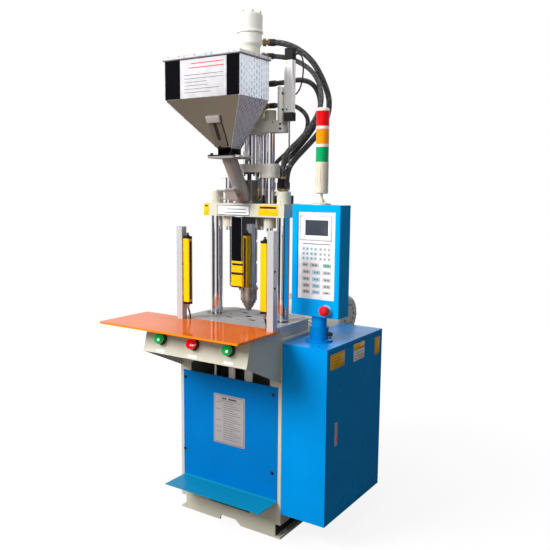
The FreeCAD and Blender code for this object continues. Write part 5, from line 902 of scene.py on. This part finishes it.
# turned forms as (radius, height) points
KNOB = [
    (0, 0), (7.5, 0), (8.0, 1.0), (8.0, 4.5), (6.4, 6.5), (3.2, 7.0), (3.2, 9.0), (5.2, 9.6),
    (5.6, 12.0), (4.6, 14.2), (0, 14.8),
]
GLAND = [(0, 0), (7, 0), (7, 5), (6, 5.6), (6, 9), (5.4, 9.6), (5.4, 14), (4.2, 20), (0, 20)]
BOOT = [(0, 0), (6.5, 0), (6.5, 4), (5.6, 4.8), (5.4, 9), (4.6, 10), (3.9, 20), (0, 20)]
STOP_HIGHLIGHT_RING = [(15.6, 0), (21.8, 0), (22.2, 0.5), (21.8, 1), (15.6, 1), (15.6, 0)]
RIVET = [(0, 1.3), (1.1, 1.15), (1.9, 0.6), (2.2, 0), (0, 0)]
CURTAIN_BARS = (("left", -156.0, -169.0, 1), ("right", 203.0, 216.0, -1))  # inner face, middle, optics' way
CURTAIN_Y = -199
CONSOLE_TOP, CONSOLE_FRONT, CONSOLE_DROP, CONSOLE_SLOPE = 867, -346, 104, 30
SHIELD_HALF, SHIELD_FRONT = 25.6, -90
POST_X, POST_Y, BOLT_CIRCLE = 355, -14, 46.5
FRONT = ((1, 0, 0), (0, 0, 1))  # across and up on a face that looks to -Y
RIGHT = ((0, 1, 0), (0, 0, 1))  # the same on a face that looks to +X
CONSOLE = ((1, 0, 0), (0, CONSOLE_SLOPE, CONSOLE_DROP))  # sloped front of the console
SLOPE_FRONT = ((1, 0, 0), (0, HOPPER_FRONT - PYRAMID_FRONT, PYRAMID_HEIGHT))  # front of the hopper's pyramid
SLOPE_RIGHT = ((0, 1, 0), (HOPPER_RIGHT - PYRAMID_HALF, 0, PYRAMID_HEIGHT))  # right side of the same
FORWARD, SIDEWAYS, UPWARD = (0, -1, 0), (1, 0, 0), (0, 0, 1)


def hopper_details():
    """Protective film on the hopper's right side, its bare plate, and bright beads along the corner seams and
    front fold, which are painted highlights.
    """
    home = (CARRIAGE, "stainless")
    with making("hopper_film_box", "film_box", *home) as mesh:
        slab(mesh, rounded(192, 149, 1.0, 2), 0.25, 0.1, 1, plane((HOPPER_RIGHT, -170, 1838.5), RIGHT))
    with making("hopper_film_slope", "film_slope", *home) as mesh:
        matrix = plane((PYRAMID_HALF, -138, PYRAMID_FOOT), SLOPE_RIGHT)
        slab(mesh, [(-32, 1), (32, 1), (64, 218), (-128, 218)], 0.25, 0.1, 1, matrix)
    front = Face(*home, (-30, HOPPER_FRONT, 1838), FRONT)
    front.plate("hopper_plate", "hopper_plate", 226, 146, 1.0, 1.5)
    front.rules("hopper_plate_red_lines", "red_ink", [(-58, 102, 56), (-70, 102, 40)], 1.0, 3.4)
    rows = [(-92, 98, 14), (-92, 96, 0), (-92, 20, -13), (-92, 26, -26), (-92, 78, -39), (-92, 36, -52)]
    front.rules("hopper_plate_grey_lines", "grey_ink", rows, 1.0, 1.7)
    # Painted highlights: bright metal beads along the seams of the corners and the fold.
    with making("hopper_seam_highlights", "ground_seam", *home) as seams:
        for x in (HOPPER_LEFT + 0.6, HOPPER_RIGHT - 0.6):
            y = HOPPER_FRONT + 0.6
            bead(seams, (x, y, HOPPER_FOLD), (x, y, HOPPER_FOLD + 148), 1.1)
        y = HOPPER_FRONT + 0.4
        bead(seams, (HOPPER_LEFT, y, HOPPER_FOLD), (HOPPER_RIGHT, y, HOPPER_FOLD), 1.2)
        for foot, corner in ((PYRAMID_HALF, HOPPER_RIGHT), (-PYRAMID_HALF, HOPPER_LEFT)):
            bead(seams, (foot, PYRAMID_FRONT, PYRAMID_FOOT), (corner, HOPPER_FRONT, HOPPER_FOLD), 1.2)


def sight_details():
    """Slotted sight plate on the hopper's slope, over its dark window, with its turned-up top."""
    home = (CARRIAGE, "stainless")
    matrix = plane((0, PYRAMID_FRONT, PYRAMID_FOOT), SLOPE_FRONT)
    with making("sight_plate", "sight_steel", *home) as mesh:
        slotted(mesh, (-8, 73.5), (32, 60.5), (8.5, 37), 3.6, matrix)
    for name, look, sizes in (
        ("sight_window", "sight_glass", (-18.0, 2.0, 35.0, 112.0, 2.9, 3.25, 0.1, 1)),
        # Painted shadow: a dark sheet a little wider than the plate, showing as a thin dark outline along
        # both long sides where shadow and gap lie.
        ("sight_painted_shadow", "sight_glass", (-41.8, 25.8, 11.5, 125.0, 0.05, 0.9, 0.2, 1)),
        ("sight_tab", "tab_steel", (-41.5, 25.5, 111.0, 139.0, 0.0, 9.8, 2.4, 3)),
    ):
        with making(name, look, *home) as mesh:
            block(mesh, *sizes, matrix)


def cover_details():
    """Bare yellow stickers that wrap round the shield's right fold, with their dark bands."""
    home = (CARRIAGE, "stainless")
    wing = Matrix.Translation((SHIELD_HALF, SHIELD_FRONT, 0)) @ Matrix.Rotation(math.radians(45), 4, "Z")
    for name, look, low, high, thick, inset in (
        ("upper", "yellow_sticker", 1074, 1121, 0.3, 0.3),
        ("lower", "yellow_sticker", 1017, 1064, 0.3, 0.3),
        ("band", "black_plastic", 1064, 1074, 0.3, 0.3),
        ("heading", "black_plastic", 1103, 1112, 0.45, 3),
    ):
        with making("cover_sticker_" + name, look, *home) as mesh:
            y0, y1 = SHIELD_FRONT - thick, SHIELD_FRONT + 0.05
            block(mesh, inset - SHIELD_HALF, SHIELD_HALF, y0, y1, low, high, 0.1, 1)
            block(mesh, 0, 9 - inset, -thick, 0.05, low, high, 0.1, 1, wing)
    # Painted highlights: bright beads along the shield's two front folds.
    with making("cover_fold_highlights", "ground_seam", *home) as edges:
        for x in (-SHIELD_HALF, SHIELD_HALF):
            bead(edges, (x, SHIELD_FRONT + 0.4, 1011.5), (x, SHIELD_FRONT + 0.4, 1303.5), 0.7)


def platen_details():
    """Bare plates on the platen's front edge."""
    home = (CARRIAGE, "beige_paint")
    middle = Face(*home, (-47, PLATEN_FACE, 1329), FRONT)
    middle.plate("platen_plate", "white_plate", 170, 44, 0.8, 1.0)
    middle.border("platen_plate_border", "grey_ink", 169, 43, 3.2, 0.8)
    middle.rules("platen_plate_lines", "grey_ink", [(-34, 66, 5), (-40, 66, -9)], 0.8, 3.2)
    for side, x, z, size, band_z, band_size in (
        ("left", -190, 1330, (28, 50), 1345, (18, 7, 0.2, 3.2)),
        ("right", 128.5, 1332.5, (97, 43), 1343.5, (82, 9, 0.2, 4.3)),
    ):
        name = "platen_sticker_" + side
        Face(*home, (x, PLATEN_FACE, z), FRONT).plate(name, "yellow_sticker", *size, 0.4, 1.0)
        band = Face(*home, (x, PLATEN_FACE - 0.35, band_z), FRONT)
        band.plate(name + "_band", "black_plastic", *band_size)


def panel_details():
    """Ruled data plate with its rivets, the panel's screws and the inner posts over the panel."""
    home = ("base", "blue_paint")
    front = Face(*home, (3, PANEL_FACE, 452.5), FRONT)
    front.plate("data_plate", "name_plate", 162, 215, 1.0, 5.0)
    front.border("data_plate_border", "grey_ink", 154, 207, 1.6, 1.0)
    top, step = 72, 9.8
    rows = [(-50, 56, 81)]
    rows += [(-30, (22, 44, 60)[k % 3], top - step * k) for k in range(17)]
    rows += [(-68, -42, top - step * k) for k in (0, 3, 8, 11, 13)]
    front.rules("data_plate_heading", "grey_ink", [(-36, -14, 91), (-4, 38, 91)], 1.0, 7.0)
    front.rules("data_plate_lines", "grey_ink", rows, 1.0, 1.7)
    with making("data_plate_rivets", "aluminium", *home) as rivets:
        for x, z in ((-74, 554), (80, 554), (-74, 351), (80, 351)):
            lathe(rivets, RIVET, facing((x, PANEL_FACE - 1, z), FORWARD), 16)
    with making("panel_screws", "black_oxide", "base", "dark_steel") as screws:
        for x, z in ((-235, 604), (223, 603), (-239, 278), (221, 275)):
            lathe(screws, [(7.2, 0.0), (7.2, 1.0), (4.4, 1.2)], facing((x, PANEL_FACE, z), FORWARD))
            button_screw(screws, (x, PANEL_FACE - 0.8, z), FORWARD, 4.8, 3.0)
    # the inner posts' paler paint is painted light for the shade they stand in
    with making("inner_posts", "beige_paint_inner", "base", "beige_paint") as posts:
        for x0, x1 in ((-88, -79), (-12, 19), (69, 108)):
            block(posts, x0, x1, -126, -120, 300, 800, 0.6, 2)


def console_details():
    """White name strips under the three buttons."""
    z = 774
    y = CONSOLE_FRONT - (CONSOLE_TOP - z) * CONSOLE_SLOPE / CONSOLE_DROP
    for side, x in (("left", -168), ("middle", -2), ("right", 172)):
        spot = Face("base", "beige_paint", (x, y, z), CONSOLE)
        spot.plate("button_strip_" + side, "white_plate", 44, 11, 0.6, 1.2)


def cabinet_details():
    """Plates on the cabinet door and bolts of the post's flange."""
    home = ("door", "blue_paint")
    front, middle = (Face(*home, (DOOR_FACE, y, 763), RIGHT) for y in (-61, 125.5))
    front.plate("door_sticker_front", "yellow_sticker", 118, 60)
    front.border("door_sticker_front_border", "black_plastic", 108, 50)
    front.rules("door_sticker_front_lines", "black_plastic", [(-44, 20, 12), (-44, 36, 0), (-44, 10, -12)])
    middle.plate("door_plate_middle", "white_plate", 99, 72)
    head = Face(*home, (DOOR_FACE + 0.35, 125.5, 785), RIGHT)
    head.plate("door_plate_middle_head", "yellow_sticker", 97, 26, 0.2, 1.5)
    middle.rules("door_plate_middle_lines", "grey_ink", [(-40, 40, -4), (-40, 40, -16), (-40, 12, -27)])
    rear = Face(*home, (DOOR_FACE, 301.5, 754), RIGHT)
    rear.plate("door_plate_rear", "yellow_sticker", 49, 74)
    rear.border("door_plate_rear_border", "black_plastic", 42, 66)
    with making("post_flange_bolts", "black_oxide", "base", "dark_steel") as bolts:
        for k in range(4):
            angle = math.radians(45 + 90 * k)
            x, y = POST_X + BOLT_CIRCLE * math.cos(angle), POST_Y + BOLT_CIRCLE * math.sin(angle)
            hex_bolt(bolts, (x, y, 827), UPWARD, 4.2, 4.5, 5.8)


def keypad_details():
    """Screen glass and frame, the line under them, blank keys with their bars, and a pale ring round the stop
    button that is a painted highlight.
    """
    home = ("pendant", "ivory_plastic")
    Face(*home, (359, KEYPAD_FACE, 1271), FRONT).plate("screen_glass", "dark_glass", 101.4, 59.4, 0.9, 1.0)
    line = Face(*home, (358.5, KEYPAD_FACE, KEYPAD_HIGH - 0.367 * KEYPAD_TALL), FRONT)
    line.rules("keypad_line", "grey_ink", [(-62, 62, 0)], 0.0, 3.0)
    Face(*home, (354, KEYPAD_FACE, 1268.5), FRONT).border("screen_frame", "frame_grey", 144, 97, 4.0, 0.0)
    for kind in ("blue", "grey", "green"):
        with making("keys_" + kind, "key_" + kind, *home) as mesh:
            for matrix, width, height, corner, _ in keys_of(kind):
                slab(mesh, rounded(width, height, corner, 3), 0.5, 0.2, 1, matrix)
        with making("key_marks_" + kind, "mark_" + kind, *home) as mesh:
            for matrix, width, height, _, bars in keys_of(kind):
                step, tall = width / (bars + 1), 0.2 * height
                for k in range(bars):
                    x = (k + 1) * step - width / 2
                    block(mesh, x - step * 0.32, x + step * 0.32, -tall, tall, 0.4, 0.62, 0.05, 1, matrix)
    # Painted highlight: a thin pale ring round the stop button.
    with making("stop_ring_painted_highlight", "pale_ring", *home) as ring:
        lathe(ring, STOP_HIGHLIGHT_RING, facing((409, -59, 952), FORWARD), 48)


def keys_of(kind):
    """Blank keys of one colour, each with its matrix, sizes and the number of bars on it."""
    for color, across, down, width, height, corner, bars in KEYS:
        if color == kind:
            for u, v in itertools.product(across, down):
                place = (KEYPAD_LEFT + u * KEYPAD_WIDE, KEYPAD_FACE, KEYPAD_HIGH - v * KEYPAD_TALL)
                yield plane(place, FRONT), width, height, corner, bars


def curtain_details():
    """Dark optics of the light curtains, swivel knobs over them and glands under them."""
    for side, inner, middle, inward in CURTAIN_BARS:
        with making("curtain_optics_" + side, "dark_optics", "base", "black_plastic") as mesh:
            x0, x1 = sorted((inner, inner + 1.7 * inward))
            block(mesh, x0, x1, -204.8, -193.2, 960.4, 1202.6)
        with making("curtain_knob_" + side, "black_plastic", "base", "black_plastic") as mesh:
            lathe(mesh, KNOB, facing((middle, CURTAIN_Y, 1222.8), UPWARD))
        with making("curtain_gland_" + side, "nickel_brass", "base", "dark_steel") as mesh:
            lathe(mesh, GLAND, facing((middle, CURTAIN_Y, 940.2), (0, 0, -1)))
    with making("post_screws", "black_oxide", "base", "dark_steel") as screws:
        for z in (1107, 1042):
            for x in (265, -188):
                button_screw(screws, (x, -204, z), SIDEWAYS)


def unit_details():
    """Bolts of the top beam and bracket, hose sleeves, bands on the nozzle and heater terminals."""
    with making("beam_bolts", "black_oxide", CARRIAGE, "dark_steel") as bolts:
        for y, z in ((-30, 1676), (-30, 1658), (-12, 1797), (-12, 1734)):
            socket_screw(bolts, (168, y, z), SIDEWAYS, 4.6, 4.0)
        button_screw(bolts, (150, BRACKET_FACE, 1682), FORWARD, 3.0, 1.6)
    with making("hose_sleeves", "crimp_sleeve", CARRIAGE, "dark_steel") as sleeves:
        for name in ("motor_hose", "upper_hose", "return_hose", "lower_hose"):
            diameter, _, _, _, route = CORDS[name]
            for end, inner in ((route[0], route[1]), (route[-1], route[-2])):
                crimp_sleeve(sleeves, diameter / 2, end, Vector(inner) - Vector(end))
    with making("nozzle_bands", "band_steel", CARRIAGE, "heater_steel") as bands:
        for low, high, r in ((934.0, 943.0, 27.5), (943.5, 973.0, 31.5), (975.0, 1006.0, 31.5)):
            tall = high - low
            foot = [(r - 3.0, 0.0), (r - 0.5, 0.0), (r, 0.6)]
            top = [(radius, tall - height) for radius, height in reversed(foot)]
            lathe(bands, foot + top, facing((0, 0, low), UPWARD), 64)
    with making("heater_terminals", "brass", CARRIAGE, "heater_steel") as terminals:
        for side, z in ((-1, 992), (1, 1000)):
            x0, x1 = sorted((side * 34.0, side * 46.0))
            block(terminals, x0, x1, -9, 3, z - 6, z + 6, 1.5, 2)
            socket_screw(terminals, (side * 46.0, -3, z), (side, 0, 0), 3.2, 3.2)


def crimp_sleeve(target, radius, end, along):
    """Grooved sleeve on one end of a hose."""
    r = radius + 2.5
    groove = r - 0.3
    profile = [(r - 2.2, -22.0), (r - 0.6, -22.0), (r, -21.0), (r, -17.0), (groove, -16.5), (groove, -13.0)]
    profile += [(r, -12.5), (r, -8.0), (groove, -7.5), (groove, -4.0), (r, -3.5), (r, 1.0), (r - 1.0, 2.0)]
    lathe(target, profile + [(radius - 0.3, 2.0)], facing(end, along), 32)


def small_mark(name, look, body, slot, place, sides, width=9, corner=4.4, steps=5):
    """Small printed mark, 9 mm high and by default round."""
    with making(name, look, body, slot) as mark:
        slab(mark, rounded(width, 9, corner, steps), 0.3, 0.1, 1, plane(place, sides))


def transducer_details():
    """Marks on the transducer and the boot of its cable."""
    home = (CARRIAGE, "aluminium")
    small_mark("transducer_mark_yellow", "yellow_sticker", *home, (180, 0, 1916), FRONT, 8, 1.5, 3)
    small_mark("transducer_mark_teal", "teal_mark", *home, (181, 0, 1735), FRONT)
    with making("transducer_boot", "black_rubber", CARRIAGE, "black_rubber") as boot:
        lathe(boot, BOOT, facing((205.7, 13.5, 1949), SIDEWAYS))


def pump_details():
    """Red mark on the cowl."""
    # the red finish glows here too, painted light
    small_mark("cowl_mark", "red_plastic", "base", "beige_paint", (258, 515, 835), RIGHT)


# ---- stage ----
FLOOR_RADIUS = 4.2
WHITE, SHADE = (1.0, 1.0, 1.0), (0.012, 0.012, 0.016)
ROOM = [  # what polished metal mirrors: azimuth in degrees and colour
    (-180, WHITE), (-152, WHITE), (-146, SHADE), (-118, SHADE), (-112, (0.10, 0.12, 0.17)), (-104, WHITE),
    (-66, WHITE), (-58, (0.05, 0.05, 0.055)), (-20, (0.04, 0.04, 0.045)), (-12, (0.95, 0.95, 1.0)),
    (6, (0.95, 0.95, 1.0)), (14, (0.16, 0.14, 0.20)), (68, (0.12, 0.12, 0.17)), (78, (0.75, 0.75, 0.80)),
    (112, WHITE), (121, WHITE), (123, (0.15, 0.14, 0.13)), (128, (0.18, 0.17, 0.16)), (133, WHITE),
    (180, WHITE),
]
LAMPS = {  # place in metres, diameter, watts and whether metal mirrors it
    "key": ((-1.5, -3.15, 3.2), 2.0, 205.0, False),
    "top": ((0.3, -0.6, 5.2), 3.0, 40.0, False),
    "spark": ((0.35, -3.3, 2.3), 0.22, 9.0, True),
}
LAMP_AIM = (0.0, 0.0, 1.0)
SPOT = ((3.6, 0.9, 3.3), (0.14, -0.30, 1.95), 560.0)  # place, aim and watts of the lamp on the hopper
FILL_FROM = (-0.62, -0.62, 0.48)


def make_floor():
    """Floor that the camera sees as white apart from a soft shadow, and that mirrors as grey-brown."""
    look = Look("floor_white", (0.9, 0.9, 0.9), 0.8)
    ray = look.node("LightPath").outputs["Is Camera Ray"]
    diffuse = look.fed("BsdfDiffuse", look.mix(ray, (0.17, 0.14, 0.11), (0.9, 0.9, 0.9)))
    glow = look.fed("Emission", WHITE, 1.02)
    away = look.vector("LENGTH", look.coords())
    share = look.mul(ray, look.remap(away, 0.9, 2.4, 0.86, 1.0))
    surface = look.tree.nodes["Material Output"].inputs["Surface"]
    look.link(look.fed("MixShader", share, diffuse, glow), surface)
    part = bmesh.new()
    bmesh.ops.create_circle(part, cap_ends=True, segments=96, radius=FLOOR_RADIUS)
    data = bpy.data.meshes.new("floor")
    part.to_mesh(data)
    part.free()
    data.materials.append(look.material)
    floor = add_object("floor", data)


def room_color(sky):
    """Colour of the surroundings by compass direction, for reflections."""
    x, y, _ = sky.split(sky.node("TexCoord").outputs["Generated"])
    ramp = sky.node("ValToRGB")
    points = ramp.color_ramp.elements
    points.remove(points[1])
    points[0].position, points[0].color = 0.0, (*ROOM[0][1], 1.0)
    for azimuth, color in ROOM[1:]:
        points.new((azimuth + 180) / 360).color = (*color, 1.0)
    sky.link(sky.remap(sky.math("ARCTAN2", y, x), -math.pi, math.pi), ramp.inputs[0])
    return ramp.outputs[0]


def make_world():
    """White for the camera, the room for reflections and a fill from the left front for the rest."""
    world = bpy.data.worlds.new("studio")
    bpy.context.scene.world = world
    world.use_nodes = True
    sky = Nodes(world.node_tree)
    sky.tree.nodes.clear()
    toward = sky.vector("DOT_PRODUCT", sky.node("TexCoord").outputs["Generated"], FILL_FROM)
    fill = sky.fed("Background", (0.97, 0.98, 1.0), sky.remap(toward, -0.8, 1.0, 0.05, 0.70))
    path = sky.node("LightPath")
    lit = sky.fed("MixShader", path.outputs["Is Glossy Ray"], fill, sky.fed("Background", room_color(sky)))
    shown = sky.fed("MixShader", path.outputs["Is Camera Ray"], lit, sky.fed("Background", WHITE))
    sky.link(shown, sky.node("OutputWorld").inputs[0])


def hang(name, kind, place, target, power, mirrored=False):
    """Lamp at a place, turned to its target, and whether polished metal mirrors it."""
    data = bpy.data.lights.new(name, kind)
    data.energy = power
    lamp = add_object(name, data)
    lamp.location = place
    lamp.rotation_mode = "QUATERNION"
    lamp.rotation_quaternion = (Vector(target) - Vector(place)).to_track_quat("-Z", "Y")
    lamp.visible_glossy = mirrored
    return data


def make_lamps():
    """Round lamps over the front, and a soft spot on the hopper's right side."""
    for name, (place, size, power, mirrored) in LAMPS.items():
        lamp = hang(name, "AREA", place, LAMP_AIM, power, mirrored)
        lamp.shape = "DISK"
        lamp.size = size
    lamp = hang("side", "SPOT", *SPOT)
    lamp.spot_size = math.radians(15)
    lamp.spot_blend = 0.8
    lamp.shadow_soft_size = 0.35


# ---- build ----
make_camera()
looks = finishes()
dress_nodes()
for cord_name, cord_row in CORDS.items():
    make_cord(cord_name, *cord_row)
hopper_details()
sight_details()
cover_details()
platen_details()
panel_details()
console_details()
cabinet_details()
keypad_details()
curtain_details()
unit_details()
transducer_details()
pump_details()
make_floor()
make_world()
make_lamps()

scene = bpy.context.scene
scene.view_settings.view_transform = "Standard"
